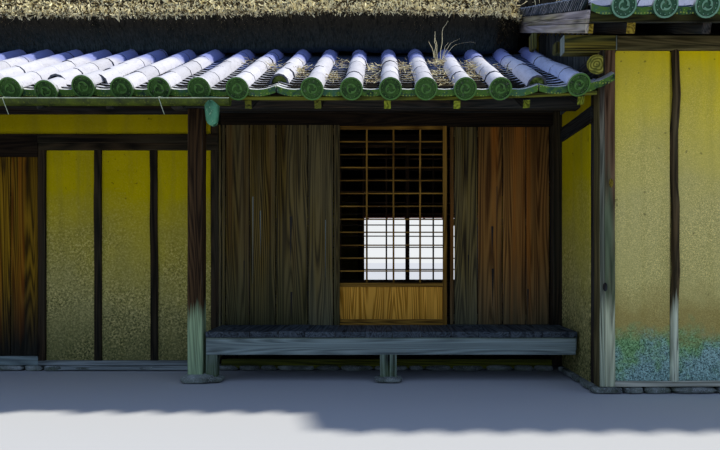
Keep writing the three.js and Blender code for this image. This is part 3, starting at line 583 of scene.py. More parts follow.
def wood_finish(name, heart, sap, silver=None, bleach=0.0, foot=None, foot_reach=0.6, foot_blend=0.2,
                flame=None, eave_shade_and_soot=None, growth=0.0, growth_colour="4c5c2e", roughness=0.78,
                relief=0.0012, own_grain=True, wear=0.12, low_silver=False, figure=0.2, cracks=0.75):
    """Old timber. silver is its weathered colour, foot the one near the ground, flame the warm heart
    of a board; figure and cracks tell how strong its pointed lines and dark checks are. Its eave shade
    says between which heights it darkens, as painted shade under the eave that is partly sooty, and how
    much light is left above. Without its own grain the fibres run along X."""
    w, shader = new_finish(name, roughness)
    grain = w.grain() if own_grain else w.place()
    height = w.axes()["Z"]
    marks = w.group("timber grain", {"Grain": grain, "Figure": figure})
    colour = w.mix(marks["Streak"], heart, sap)
    shade = w.span(w.value("tint"), 0, 1, 0.68, 1.28)
    # Painted shade under the eave, partly sooty: darker from the first height up to the second.
    if eave_shade_and_soot:
        shade = w.times(shade, w.span(height, eave_shade_and_soot[0], eave_shade_and_soot[1], 1.0, eave_shade_and_soot[2]))
    colour = w.shade(colour, shade)
    if flame:
        colour = w.mix(w.times(marks["Heart"], 0.75), colour, flame)
    if silver:
        patches = w.noise(w.stretch(grain, (0.8, 9, 9)), 1, 4, 0.6)
        if low_silver:
            patches = w.plus(patches, w.span(height, 2.3, 0.6, -0.12, 0.2))
        amount = w.times(w.span(patches, 0.38, 0.6), bleach)
        fibre = w.mix(marks["Streak"], dimmed(linear(silver), 0.55), silver)
        colour = w.mix(amount, colour, fibre)
    if foot:
        streaks = w.noise(w.stretch(grain, (0.5, 26, 26)), 1, 4, 0.6)
        level = w.plus(height, w.around_zero(streaks, 0.6))
        pale = w.span(level, foot_reach, foot_reach * (1 - foot_blend))
        fibre = w.mix(marks["Streak"], dimmed(linear(foot), 0.5), foot)
        colour = w.mix(pale, colour, fibre)
    dark = w.plus(w.times(marks["Checks"], cracks), w.times(marks["Knots"], 0.8))
    colour = w.mix(w.math("MULTIPLY", dark, 1, clamp=True), colour, "0d0a07")
    sockets = {"Grain": grain, "Edge": w.value("worn"), "Amount": wear}
    edge = w.group("edge wear", sockets)["Wear"]
    colour = w.mix(edge, colour, "8a8272")
    if growth:
        sockets = {"Place": w.place(), "Height": height, "Reach": growth}
        moss = w.group("moss and lichen", sockets)
        colour = w.mix(w.times(moss["Moss"], 0.75), colour, growth_colour)
    rough = w.span(marks["Streak"], 0, 1, roughness + 0.1, roughness - 0.08)
    normal = w.bump(marks["Height"], relief)
    w.join(shader, {"Base Color": colour, "Roughness": rough, "Normal": normal})


def end_grain_finish():
    """A sawn end: rings about its middle, greened by algae."""
    w, shader = new_finish("ringed end wood", 0.85)
    grain = w.grain()
    rings = w.put("TexWave", {"Vector": grain, "Scale": 15.0, "Distortion": 6.0, "Detail": 3.0},
                  wave_type="RINGS", rings_direction="X").outputs["Fac"]
    colour = w.mix(rings, "5d5a1a", "a8a44a")
    patches = w.span(w.noise(grain, 18, 4, 0.6), 0.45, 0.65)
    colour = w.mix(w.times(patches, 0.7), colour, "4a5224")
    w.join(shader, {"Base Color": colour, "Normal": w.bump(rings, 0.001)})


def plaster_finish(name, colours, turn=(1.6, 0.5), lichen=0.0, lift=1.0, damp="5d6156",
                   sand_scale=85, splash=(0.5, 0.12)):
    """Ochre earth plaster. turn gives the heights between which it goes from yellow to sandy grey.
    lichen is how far up a wing's foot it is overgrown."""
    w, shader = new_finish(name, 0.95, 0.02)
    place = w.place()
    height = w.axes()["Z"]
    cloud = w.noise(place, 1.1, 4, 0.6)
    colour = w.mix(w.span(cloud, 0.35, 0.65), colours.plaster, colours.plaster_pale)
    level = w.plus(height, w.around_zero(cloud, 0.9))
    low = w.span(level, *turn)
    colour = w.mix(w.times(low, 0.85), colour, colours.plaster_low)
    runs = w.noise(w.stretch(place, (9, 9, 0.6)), 1, 4, 0.6)
    colour = w.mix(w.span(runs, 0.5, 0.75, 0, 0.35), colour, "6f6c34")
    sand = w.noise(place, sand_scale, 4, 0.75)
    patch = w.span(w.noise(place, 2.1, 3, 0.6), 0.4, 0.62, 0.45, 1)
    strength = w.times(w.span(low, 0, 1, 0.06, 0.85), patch)
    grit, pit = ("bfb474", "716b3c") if lichen else ("dccc8c", "24270f")
    colour = w.mix(w.times(w.span(sand, 0.53, 0.6), strength), colour, grit)
    colour = w.mix(w.times(w.span(sand, 0.48, 0.41), strength), colour, pit)
    specks = w.span(w.noise(place, 20, 2, 0.5), 0.7, 0.74)
    colour = w.mix(w.times(specks, 0.5), colour, "2b2a15")
    # Painted shade: except on the lichened wing, the plaster darkens above 2 m, under the eave.
    lit = w.span(height, 2.0, 2.12, lift, lift if lichen else 0.8 * lift)
    colour = w.shade(colour, [w.times(lit, share) for share in (1.02, 0.95 if lichen else 0.98, 0.85)])
    foot = w.plus(height, w.around_zero(w.noise(place, 4, 5, 0.7), 0.5))
    if lichen:
        warm = w.times(w.span(foot, lichen + 0.3, lichen + 0.05), 0.5)
        colour = w.mix(warm, colour, "94752f")
        speckle = w.span(w.noise(place, 105, 5, 0.8), 0.4, 0.6)
        spread = w.plus(w.noise(place, 5, 4, 0.65), w.span(height, 0.1, lichen, -0.12, 0.12))
        grey = w.mix(speckle, "1d3b34", "bfe4d4")
        green = w.mix(speckle, "2b5527", "a9d68f")
        growth = w.mix(w.span(spread, 0.4, 0.6), grey, green)
        colour = w.mix(w.span(foot, lichen, lichen - 0.14), colour, growth)
    else:
        colour = w.mix(w.times(w.span(foot, *splash), 0.5), colour, damp)
    trowel = w.noise(w.stretch(place, (2.5, 2.5, 3.5)), 1, 3)
    coarse = w.plus(w.times(sand, 0.4), w.times(trowel, 1.2))
    w.join(shader, {"Base Color": colour, "Normal": w.bump(coarse, 0.003, 0.8)})


def clay_finish(name, dark, pale, top=None, growth=0.0, growth_colour="3f5a2a", edge="b9babc",
                rough=0.7, patchy=1.0, sheltered=None, shelter=2.62, shaded=None, dotted=None):
    """Grey roof tile. top is its colour on upward faces: sun-bleached clay, and on the near-black pans also
    painted light. growth is how much moss it carries, and sheltered a bluish colour painted as shade where
    the thatch keeps the sun off it, from the height called shelter on. shaded is the colour of its undersides
    there, painted shade too."""
    w, shader = new_finish(name, rough, 0.15)
    grain = w.grain()
    tint = w.value("tint")
    smudge = w.noise(grain, 14, 5, 0.65)
    blend = w.plus(w.times(tint, 0.5), w.times(smudge, 0.5))
    colour = w.mix(w.span(blend, 0.3, 0.7), dark, pale)
    # Painted shade: from the height shelter on, the faces take the bluish shaded colour of the thatch's
    # shade.
    if shaded:
        colour = w.mix(w.span(w.axes()["Z"], shelter, shelter + 0.08), colour, shaded)
    patch = w.span(w.noise(w.place(), 17, 5, 0.65), 0.62 - 0.3 * growth, 0.74 - 0.3 * growth)
    colour = w.mix(w.times(patch, min(1.0, growth * 1.4)), colour, growth_colour)
    sockets = {"Grain": grain, "Edge": w.value("worn"), "Amount": 0.95, "Patchy": patchy}
    lip = w.group("edge wear", sockets)["Wear"]
    colour = w.mix(lip, colour, edge)
    # Upward faces take the top colour: sun bleaching. Where the base is near black, as on the pans, this also
    # paints light on the tops and shade on the other faces.
    if top:
        stains = w.noise(w.stretch(grain, (22, 7, 22)), 1, 5, 0.65)
        sun = w.times(w.span(w.upward(), -0.1, 0.3), w.span(stains, 0.34, 0.5, 0.86, 1))
        sun = w.times(sun, w.span(w.value("worn"), -1, -0.5))
        bleached = w.mix(tint, dimmed(linear(top), 0.8), top)
        # Painted shade: from the height shelter on, the top colour turns to the bluish sheltered colour.
        if sheltered:
            axes = w.axes()
            # Painted shade: the last rows beside the wing, in the shadow of its roof, take a pale blue.
            beside = w.times(w.span(axes["X"], 3.3, 3.8), w.span(axes["Y"], -5.0, -5.3))
            bleached = w.mix(w.span(axes["Z"], shelter, shelter + 0.06), bleached, sheltered)
            bleached = w.mix(beside, bleached, "dbe4ff")
        colour = w.mix(sun, colour, bleached)
        spots = w.times(w.span(w.noise(grain, 46, 3, 0.6), 0.6, 0.68), 0.35)
        colour = w.mix(spots, colour, "77776f")
    if dotted:
        dots = w.put("TexVoronoi", {"Vector": w.place(), "Scale": 48.0, "Randomness": 0.35})
        colour = w.mix(w.span(dots.outputs["Distance"], 0.32, 0.22, 0, 0.6), colour, dotted)
    relief = w.plus(w.times(w.noise(grain, 260, 2), 0.3), w.times(smudge, 0.7))
    w.join(shader, {"Base Color": colour, "Normal": w.bump(relief, 0.0018)})


def reed_finish(name, colours):
    """The thatch's body: reeds seen from the side, with dark gaps between the clumps as painted shade. The
    tint it reads holds painted shade too: darker near the eave, dark on the cut and bluish underneath.
    """
    w, shader = new_finish(name, 0.95, 0.0)
    reeds = w.group("reeds", {"Grain": w.grain()})
    colour = w.mix(reeds["Fibres"], dimmed(colours.thatch, 0.42), colours.thatch)
    colour = w.mix(w.times(reeds["Patches"], 0.35), colour, "6d675c")
    # Painted shade in the gaps between the clumps.
    gaps = w.span(reeds["Clumps"], 0.5, 0.0)
    colour = w.mix(w.times(gaps, 0.75), colour, "1d1811")
    # Painted shade from the tint: darker near the eave; the cut goes near black, partly as dirt, and dark
    # navy towards its foot as painted shade.
    colour = w.shade(colour, w.span(w.value("tint"), 0, 1, 0.03, 1.0))
    colour = w.mix(w.span(w.value("tint"), 0.34, 0.24, 0, 0.5), colour, "20231f")
    navy = w.mix(reeds["Fibres"], "1c2a2c", "52686c")
    colour = w.mix(w.span(w.value("tint"), 0.24, 0.06, 0, 0.85), colour, navy)
    # Painted shade: faces that point down take a bluish grey.
    colour = w.mix(w.span(w.upward(), -0.75, -0.92), colour, "2c3944")
    w.join(shader, {"Base Color": colour, "Normal": w.bump(reeds["Height"], 0.02, 0.9)})


def straw_finish(name, colours):
    """Single dry straws, from bleached to aged brown ones; the near-black ones also serve as painted shade
    between the straws.
    """
    w, shader = new_finish(name, 0.75, 0.1)
    tint = w.value("tint")
    colour = w.mix(w.span(tint, 0, 0.45), "120d06", "a48e62")
    colour = w.mix(w.span(tint, 0.45, 0.8), colour, colours.straw)
    nodes = w.noise(w.stretch(w.grain(), (14, 60, 60)), 1, 2)
    colour = w.mix(w.span(nodes, 0.55, 0.7, 0, 0.5), colour, "4a3d26")
    w.join(shader, {"Base Color": colour})


def stone_finish():
    w, shader = new_finish("field stone", 0.92)
    place = w.place()
    cloud = w.noise(place, 7, 6, 0.65)
    colour = w.mix(w.span(cloud, 0.35, 0.65), "4b4a4c", "a2a89c")
    colour = w.shade(colour, w.span(w.value("tint"), 0, 1, 0.75, 1.2))
    grit = w.noise(place, 120, 3)
    colour = w.mix(w.span(grit, 0.53, 0.65, 0, 0.7), colour, "c3c8c2")
    growth = w.group("moss and lichen", {"Place": place, "Height": w.axes()["Z"], "Reach": 0.09})
    colour = w.mix(w.times(growth["Moss"], 0.6), colour, "46532f")
    relief = w.plus(cloud, w.times(grit, 0.25))
    w.join(shader, {"Base Color": colour, "Normal": w.bump(relief, 0.01)})


def bed_finish(name, upper, dark="131311", pale="2b2822"):
    """The clay under the tiles. upper is its colour where it runs on under the thatch, which on the pent
    roofs is a bluish painted shade.
    """
    w, shader = new_finish(name, 0.95, 0.0)
    place = w.place()
    lump = w.noise(place, 25, 5, 0.6)
    colour = w.mix(w.span(lump, 0.35, 0.65), dark, pale)
    # Painted shade: above 2.64 m, under the thatch, the clay turns to the upper colour.
    colour = w.mix(w.span(w.axes()["Z"], 2.64, 2.68), colour, upper)
    w.join(shader, {"Base Color": colour, "Normal": w.bump(lump, 0.01)})


def metal_finish(name, base, worn, stain, metallic, roughness):
    """Painted or weathered sheet metal with runs of dirt."""
    w, shader = new_finish(name, roughness, 0.25)
    place = w.place()
    runs = w.noise(w.stretch(place, (9, 14, 5)), 1, 5, 0.65)
    colour = w.mix(w.span(runs, 0.36, 0.62), base, worn)
    specks = w.span(w.noise(place, 55, 4, 0.65), 0.57, 0.66)
    colour = w.mix(w.times(specks, 0.6), colour, stain)
    rough = w.span(runs, 0.3, 0.7, roughness - 0.12, roughness + 0.15)
    w.join(shader, {"Base Color": colour, "Roughness": rough, "Normal": w.bump(runs, 0.002)})
    shader.inputs["Metallic"].default_value = metallic


def make_finishes(colours):
    make_groups()
    plaster_finish("ochre plaster", colours, lift=1.18, damp="2c3b22", sand_scale=55, splash=(0.65, 0.15))
    plaster_finish("sheltered plaster", colours, lift=1.5, damp="1c2a14", sand_scale=55,
                   splash=(0.8, 0.2))
    plaster_finish("lichened plaster", colours, (2.5, 1.3), lichen=0.5, lift=2.0, sand_scale=150)
    end_grain_finish()
    wood_finish("dark timber", "15130f", "372c20", silver="3a4448", bleach=0.5, wear=0.05)
    wood_finish("plate timber", "40391f", "766a44", silver="5e5c3c", bleach=0.4, cracks=0.3)
    wood_finish("front timber", "100d07", "362a1a", silver="3a3a2c", bleach=0.45, wear=0.05)
    wood_finish("sill wood", "5c625c", "a8b0a8", silver="b4bcb4", bleach=0.4, relief=0.002, cracks=0.4)
    wood_finish("wing sill wood", "8d8c74", "f2eccd", silver="e4e2cc", bleach=0.3, relief=0.002, cracks=0.6)
    wood_finish("front sill wood", "333f3b", "6a7a74", silver="6f7f7a", bleach=0.4, relief=0.002, cracks=0.4)
    wood_finish("soffit wood", "2b3134", "5f6460")
    wood_finish("eave wood", "34350a", "6f701b", silver="585f2d", bleach=0.6)
    wood_finish("porch post wood", "1d140b", "46331d", foot="a1b98a", foot_reach=0.62, relief=0.002,
                cracks=0.4)
    wood_finish("corner post wood", "2a1a0e", "68503a", silver="626f52", bleach=0.95, cracks=0.5,
                foot="ccd0a8", foot_reach=0.7, relief=0.0025, low_silver=True)
    # The post's top darkens under the wing's eave: painted shade.
    wood_finish("post edge wood", "3a322a", "7b7262", silver="747c68", bleach=0.8, eave_shade_and_soot=(1.95, 2.2, 0.25),
                foot="bcc4a2", foot_reach=0.7, relief=0.0025, low_silver=True)
    wood_finish("wing post wood", "20160b", "5d492d", silver="625e44", bleach=0.4,
                foot="e2e8c4", foot_reach=0.66, relief=0.002)
    wood_finish("weathered wood", "5b6662", "86958e", silver="909b92", bleach=0.5, roughness=0.84,
                relief=0.002, cracks=0.35)
    wood_finish("porch floor wood", "1f2529", "4c555a", silver="555e62", bleach=0.5, roughness=0.84,
                relief=0.002)
    wood_finish("leg wood", "43503f", "788873", silver="84917c", bleach=0.7, growth=0.2, relief=0.002)
    wood_finish("verge wood", "6a6348", "b5ac8a", silver="b8b0b4", bleach=0.8, relief=0.0025,
                growth=2.6, growth_colour="5d4030")
    wood_finish("wing eave wood", "151407", "3a3817", silver="4a4c1c", bleach=0.4)
    wood_finish("golden end wood", "4d3a0c", "a08a30", roughness=0.8)
    wood_finish("green end wood", "3f460c", "828c2a", roughness=0.8, cracks=0.2)
    wood_finish("beam end wood", "1f1c0c", "746828", silver="4c5a36", bleach=0.55, relief=0.002)
    # The door boards darken towards the eave: painted shade, partly sooty.
    eave_shade_heights = (1.45, 2.1, 0.5)
    boards = {"eave_shade_and_soot": eave_shade_heights, "figure": 0.3, "cracks": 0.35}
    wood_finish("entrance boards", "3f2d05", "86650a", flame="96500f", foot="26251c", foot_reach=0.85,
                foot_blend=0.75, **boards)
    wood_finish("grey brown boards", "221a0c", "6a5722", silver="766c4a", bleach=0.45, flame="5a3f18",
                foot="4c4b2e", foot_reach=1.1, foot_blend=0.7, **boards)
    wood_finish("olive boards", "261d0f", "6e5c28", silver="776e4e", bleach=0.45, foot="6a684c",
                foot_reach=1.0, foot_blend=0.7, **boards)
    wood_finish("red brown boards", "553518", "96692f", silver="786032", bleach=0.25, flame="a8621a",
                foot="6e6040", foot_reach=1.0, foot_blend=0.7, **boards)
    wood_finish("golden lattice wood", "5a3d12", "9c742a", roughness=0.7, relief=0.0006)
    wood_finish("golden panel wood", "a26f1c", "e0a43c", roughness=0.7, relief=0.0008, figure=0.35,
                cracks=0.2)
    wood_finish("inner lattice wood", "241910", "46331f", roughness=0.8, relief=0.0006)
    wood_finish("red lintel wood", "8a4634", "c87a5c", roughness=0.8)
    wood_finish("floor boards", "3a342c", "6b6252", silver="7c776a", bleach=0.5)
    wood_finish("inner timber", "120d08", "2c2114", own_grain=False)
    # The cover tiles' sheltered colour and the pale blue beside the wing are painted shade.
    clay_finish("cover tile clay", "3b3e46", "565963", top="d8d6da", growth=0.06, sheltered="8790c4",
                shelter=2.655)
    clay_finish("wing cover clay", "3b3e46", "565963", top="d8d6da", growth=0.06)
    clay_finish("cap tile clay", "20361a", "335026", top="cfd0cf", growth=0.6, growth_colour="3a5c26",
                edge="517a3a", patchy=0.2)
    # The wing's end tiles are paler and bluer than the porch's: partly their own colour, partly painted
    # light, as they stand in more light.
    clay_finish("wing cap clay", "2c4d38", "42694f", top="cfd0cf", growth=0.5, growth_colour="3c6645",
                edge="76a084", patchy=0.2)
    # The pans' pale tops and near-black butts are partly weathering and partly painted light and shade; their
    # sheltered and shaded colours are painted shade under the thatch.
    clay_finish("pan tile clay", "0d1010", "1c2221", top="b4b5bc", growth=0.2, growth_colour="26361f",
                sheltered="8f9acb", shelter=2.5, shaded="33435a")
    clay_finish("eave pan clay", "122a20", "3b6249", top="d3d5d0", growth=0.7, growth_colour="4a6e2a",
                dotted="a3b04c")
    clay_finish("verge tile clay", "10171c", "26313a", top="7c8796", growth=0.3, growth_colour="2b4a2c")
    clay_finish("ridge tile clay", "53575b", "7f858a", top="b4b5ba", growth=0.25)
    reed_finish("thatch reeds", colours)
    straw_finish("straw", colours)
    stone_finish()
    bed_finish("roof clay", "2b2822")
    bed_finish("mossy clay", "2b2822", "2b3d18", "7f9048")
    # The pent roofs' bed under the thatch is a pale blue: painted shade.
    bed_finish("sheltered roof clay", "93a6cc")
    metal_finish("gutter paint", "222d06", "4a580e", "6b7424", 0.0, 0.6)
    metal_finish("spout copper", "234f34", "5a9a74", "b4cfa6", 0.25, 0.5)
    metal_finish("hanger wire", "8f9b7c", "bcc6a8", "e0e5cf", 0.0, 0.6)


# Tiled roofs


class RoofSide:
    """One slope of tiled roof: u runs along its eave, w up the slope and n out of it."""

    def __init__(self, corner, along, inward, length, pitch, reach, mitres=(False, False)):
        self.corner = Vector(corner)
        self.along = along
        self.slope = (inward + pitch * Z).normalized()
        self.normal = along.cross(self.slope)
        self.length = length
        self.longer = math.hypot(1, pitch)
        self.reach = reach
        self.mitres = mitres

    def point(self, u, w, n):
        return self.corner + self.along * u + self.slope * w + self.normal * n

    def matrix(self, u, w, n=0.0):
        """Puts a tile or a board: its X along the eave, its Y up the slope."""
        axes = Matrix((self.along, self.slope, self.normal)).transposed()
        return Matrix.Translation(self.point(u, w, n)) @ axes.to_4x4()

    def rafter_matrix(self, u, w, n):
        """Puts a rafter: its X, the grain, up the slope."""
        axes = Matrix((self.slope, -self.along, self.normal)).transposed()
        return Matrix.Translation(self.point(u, w, n)) @ axes.to_4x4()

    def run(self, u, reach=None):
        """How far up the slope a row at u goes before the hip or the top."""
        limits = [self.reach if reach is None else reach]
        if self.mitres[0]:
            limits.append(u)
        if self.mitres[1]:
            limits.append(self.length - u)
        return min(limits) * self.longer

    def ends(self, w):
        """Where a board at w starts and stops along the eave."""
        cut = w / self.longer
        return (cut if self.mitres[0] else 0.0), self.length - (cut if self.mitres[1] else 0.0)


EAVE_LEFT = HOUSE_LEFT - OVERHANG
EAVE_RIGHT = HOUSE_RIGHT + OVERHANG
EAVE_BACK = HOUSE_DEPTH + OVERHANG
PENT_REACH = OVERHANG + 0.68
RIGHT_START = -0.25
FULL_REACH = OVERHANG + CORE_INSET


def pent_side(x, y, along, inward, length, mitres=(False, False), reach=PENT_REACH):
    return RoofSide((x, y, PENT_AXIS), along, inward, length, PENT_PITCH, reach, mitres)


def roof_sides():
    """Every tiled slope, as a list of sections for each piece of the CAD."""
    wing = RoofSide((WING_ROOF[0], WING_EAVE_Y, WING_AXIS), X, Y, WING_ROOF[1] - WING_ROOF[0],
                    WING_PITCH, CORE_INSET - WING_EAVE_Y - 0.02)
    front = pent_side(EAVE_LEFT, -OVERHANG, X, Y, RETURN_FACE - EAVE_LEFT, (True, False))
    left = pent_side(EAVE_LEFT, EAVE_BACK, -Y, X, EAVE_BACK + OVERHANG, (True, True))
    back = pent_side(EAVE_RIGHT, EAVE_BACK, -X, -Y, EAVE_RIGHT - EAVE_LEFT, (True, True))
    beside = pent_side(EAVE_RIGHT, RIGHT_START, Y, -X, CORE_INSET - RIGHT_START, reach=OVERHANG - 0.01)
    right = pent_side(EAVE_RIGHT, CORE_INSET, Y, -X, EAVE_BACK - CORE_INSET, (False, True))
    return {
        "pent_roof_front": [front], "pent_roof_left": [left], "pent_roof_back": [back],
        "pent_roof_right": [beside, right], "wing_roof": [wing],
    }


def full_reach(section):
    """How far in a section's boards and rafters run, under the thatch."""
    return FULL_REACH if section.reach == PENT_REACH else section.reach


# The porch's rows of cover tiles as they lie, from the left half post to the corner post
PORCH_ROWS = (
    -1.135, -0.891, -0.625, -0.359, -0.1, 0.179, 0.445, 0.71, 0.965, 1.239, 1.511, 1.759, 2.032,
    2.277, 2.55, 2.823,
)
# Rows that lost their end tile, and how far back they start
OPEN_ROWS = {0.71: 0.2, 2.55: 0.05}
# Rows whose first tile slipped: how far along the eave, how far out and how many degrees round
SLIPPED_ROWS = {-0.891: (0.012, -0.02, 2.5), -0.625: (-0.02, 0.014, -3.0)}
WING_ROW_START, WING_ROW_PITCH, WING_ROW_COUNT = 0.202, 0.2655, 13


def cover_shape(radius, thickness, length, segments):
    """A half-round tile that lies over the joint of two pans. Y runs up the slope."""
    bm = new_half_tube(radius - thickness / 2, 2 * segments, 1)
    far = pull_out(bm, bmesh.ops.extrude_edge_only(bm, edges=bm.edges[:]), (0, length, 0))
    bmesh.ops.scale(bm, verts=far, vec=(0.97, 1, 0.97))
    thicken(bm, thickness)
    return Shape(bm)


def pan_shape(width, length, thickness, sag, segments, lip=0.0):
    """A hollow flat tile. An eave pan has a lip that hangs down."""
    bm = bmesh.new()
    bmesh.ops.create_grid(bm, x_segments=segments, y_segments=1, size=0.5)
    bmesh.ops.scale(bm, verts=bm.verts, vec=(width, length, 1))
    bmesh.ops.translate(bm, verts=bm.verts, vec=(0, length / 2, 0))
    for point in bm.verts:
        point.co.z = sag * (2 * point.co.x / width) ** 2
    if lip:
        front = [e for e in bm.edges if all(v.co.y < 1e-4 for v in e.verts)]
        pull_out(bm, bmesh.ops.extrude_edge_only(bm, edges=front), (0, -0.004, -lip))
    bmesh.ops.recalc_face_normals(bm, faces=bm.faces)
    if sum(face.normal.z for face in bm.faces) < 0:
        bmesh.ops.reverse_faces(bm, faces=bm.faces)
    bmesh.ops.solidify(bm, geom=bm.faces[:], thickness=thickness)
    bmesh.ops.recalc_face_normals(bm, faces=bm.faces)
    return Shape(bm)


def comma_points(turn, reach):
    """The outline of one of the three whirling commas on an end tile."""
    steps = 6
    outer, inner = [], []
    for step in range(steps + 1):
        share = step / steps
        angle = turn + share * 2.4
        width = reach * 0.22 * (1 - share) ** 0.8
        middle = reach * (0.55 + 0.3 * share)
        for side, line in ((1, outer), (-1, inner)):
            radius = middle + side * width
            line.append((radius * math.cos(angle), radius * math.sin(angle)))
    return outer + inner[-2::-1]


def cap_shape(radius, depth, segments=20, beads=12):
    """The round end of a row: a rim, a ring of beads and three commas. It faces -Y, from y = 0 on. Its
    worn value is 1 on what stands out and -1 on what the sun doesn't bleach."""
    bm = bmesh.new()
    forward = Matrix.Rotation(math.pi / 2, 4, "X")
    bmesh.ops.create_cone(
        bm, cap_ends=True, segments=segments, radius1=radius, radius2=radius, depth=depth,
        matrix=forward @ Matrix.Translation((0, 0, depth / 2)),
    )
    front = min(bm.faces, key=lambda face: face.calc_center_median().y)
    bmesh.ops.inset_region(bm, faces=[front], thickness=radius * 0.14, depth=0)
    bmesh.ops.inset_region(bm, faces=[front], thickness=0.0015, depth=-0.006)
    floor = front.calc_center_median().y
    for bead in range(beads):
        angle = 2 * math.pi * bead / beads
        spot = Vector((math.cos(angle), 0, math.sin(angle))) * radius * 0.72 + Vector((0, floor - 0.001, 0))
        bmesh.ops.create_cone(
            bm, cap_ends=True, segments=5, radius1=radius * 0.055, radius2=radius * 0.09, depth=0.008,
            matrix=Matrix.Translation(spot) @ forward @ Matrix.Rotation(math.pi, 4, "X"),
        )
    for comma in range(3):
        outline = comma_points(comma * 2 * math.pi / 3, radius * 0.54)
        ring = [bm.verts.new((x, floor + 0.001, z)) for x, z in outline]
        pull_out(bm, bmesh.ops.extrude_face_region(bm, geom=[bm.faces.new(ring)]), (0, -0.007, 0))
    bmesh.ops.recalc_face_normals(bm, faces=bm.faces)
    worn = bm.faces.layers.int.new("worn")
    for face in bm.faces:
        middle = face.calc_center_median()
        raised = face.normal.y < -0.9 and middle.y < floor - 0.002
        inside = math.hypot(middle.x, middle.z) < radius * 0.92
        face[worn] = 1 if raised else -1 if inside else 0
    return Shape(bm)


def plug_shape(radius):
    """The lump of clay that shows in the end of a row that lost its end tile."""
    bm = bmesh.new()
    bmesh.ops.create_icosphere(bm, subdivisions=3, radius=radius)
    for point in bm.verts:
        lump = 0.006 * math.sin(70 * point.co.x + 3) * math.sin(90 * point.co.z)
        point.co.y = 0.3 * point.co.y + lump
        point.co.z = max(point.co.z, -0.012)
    bmesh.ops.recalc_face_normals(bm, faces=bm.faces)
    return Shape(bm)


def row_places(section, pitch):
    """Where the rows of cover tiles lie along a section's eave."""
    if section.along == X and section.mitres == (True, False):
        rows = [place - section.corner.x for place in PORCH_ROWS]
        while rows[0] > pitch:
            rows.insert(0, rows[0] - pitch)
        return rows
    if section.along == X:
        return [WING_ROW_START + step * WING_ROW_PITCH for step in range(WING_ROW_COUNT)]
    count = max(2, round(section.length / pitch))
    step = section.length / count
    return [step * (index + 0.5) for index in range(count)]


def lay_covers(pile, caps, section, rows, sizes, covers):
    """Rows of cover tiles, each with its round end tile at the eave."""
    exposed = sizes.cover_length
    for u in rows:
        plan_x = round(section.corner.x + u, 3) if section.along == X else None
        start = OPEN_ROWS.get(plan_x, 0.0)
        slipped = SLIPPED_ROWS.get(plan_x)
        run = section.run(u)
        w = start
        if not start:
            drop = slipped[1] if slipped else 0.0
            tilt = Matrix.Rotation(pile.rng.uniform(-0.4, 0.4), 4, "Y")
            caps.lay(covers["cap"], section.matrix(u, 0.0, drop) @ tilt)
        else:
            caps.lay(covers["plug"], section.matrix(u, start + 0.035), part=1)
        index = 0
        while w < run - 0.06:
            shape = covers["whole"] if w + exposed < run + 0.12 else covers["short"]
            sway = pile.rng.uniform(-0.006, 0.006)
            turn = pile.rng.uniform(-0.012, 0.012)
            lift = pile.rng.uniform(0.2, 1.0) ** 5 * 0.006
            if slipped and index == 0:
                sway, lift, turn = slipped[0], slipped[1], math.radians(slipped[2])
            if slipped and index == 1:
                sway, turn = -slipped[0], -turn
            place = section.matrix(u + sway, w, lift) @ Matrix.Rotation(turn, 4, "Z")
            pile.lay(shape, place)
            w += exposed * (0.62 if slipped and index == 0 else 1)
            index += 1


def lay_pans(pile, section, rows, sizes, pans):
    """Columns of overlapping pans between the rows, the lowest with a lip over the eave."""
    step = sizes.pan_step
    first = rows[0] - (rows[1] - rows[0])
    last = rows[-1] + (rows[-1] - rows[-2])
    edges = [first, *rows, last]
    for left, right in zip(edges, edges[1:]):
        middle = (left + right) / 2
        inside = min(max(middle, 0.04), section.length - 0.04)
        if abs(inside - middle) > 0.12:
            continue
        run = section.run(inside)
        width = (right - left) * 0.96
        if left < 0 or right > section.length + 0.02:
            spread = min(right, section.length) - max(left, 0)
            width = spread * 0.96
            middle = max(left, 0) + spread / 2
        scale = Matrix.Diagonal((width / sizes.row_pitch, 1, 1, 1))
        if section.mitres == (True, False) and right > section.length:
            wide = Matrix.Diagonal((0.257 / sizes.row_pitch, 0.65, 1, 1))
            rise = Matrix.Rotation(-0.2, 4, "Y")
            pile.lay(pans["eave"], section.matrix(left + 0.128, 0.004, 0.008) @ rise @ wide, part=1)
            middle -= 0.002
        lean = Matrix.Rotation(-sizes.pan_thickness / step * 0.75, 4, "X")
        pile.lay(pans["eave"], section.matrix(middle, 0.004, -0.012) @ scale, part=1)
        w = 0.05
        while w < run - 0.02:
            lift = pile.rng.uniform(-0.0015, 0.0015)
            skew = Matrix.Rotation(pile.rng.uniform(-0.012, 0.012), 4, "Z")
            pile.lay(pans["pan"], section.matrix(middle, w, -0.004 + lift) @ lean @ skew @ scale)
            w += step


def slope_slab(section, w, n, spare=0.0):
    """A slab that follows a section between two places up the slope, cut along its hips."""
    bm = bmesh.new()
    bmesh.ops.create_cube(bm, size=1)
    for point in bm.verts:
        up = w[1] if point.co.y > 0 else w[0]
        ends = section.ends(up)
        u = ends[1] - spare if point.co.x > 0 else ends[0] + spare
        point.co = section.point(u, up, n[1] if point.co.z > 0 else n[0])
    bmesh.ops.recalc_face_normals(bm, faces=bm.faces)
    return Shape(bm)


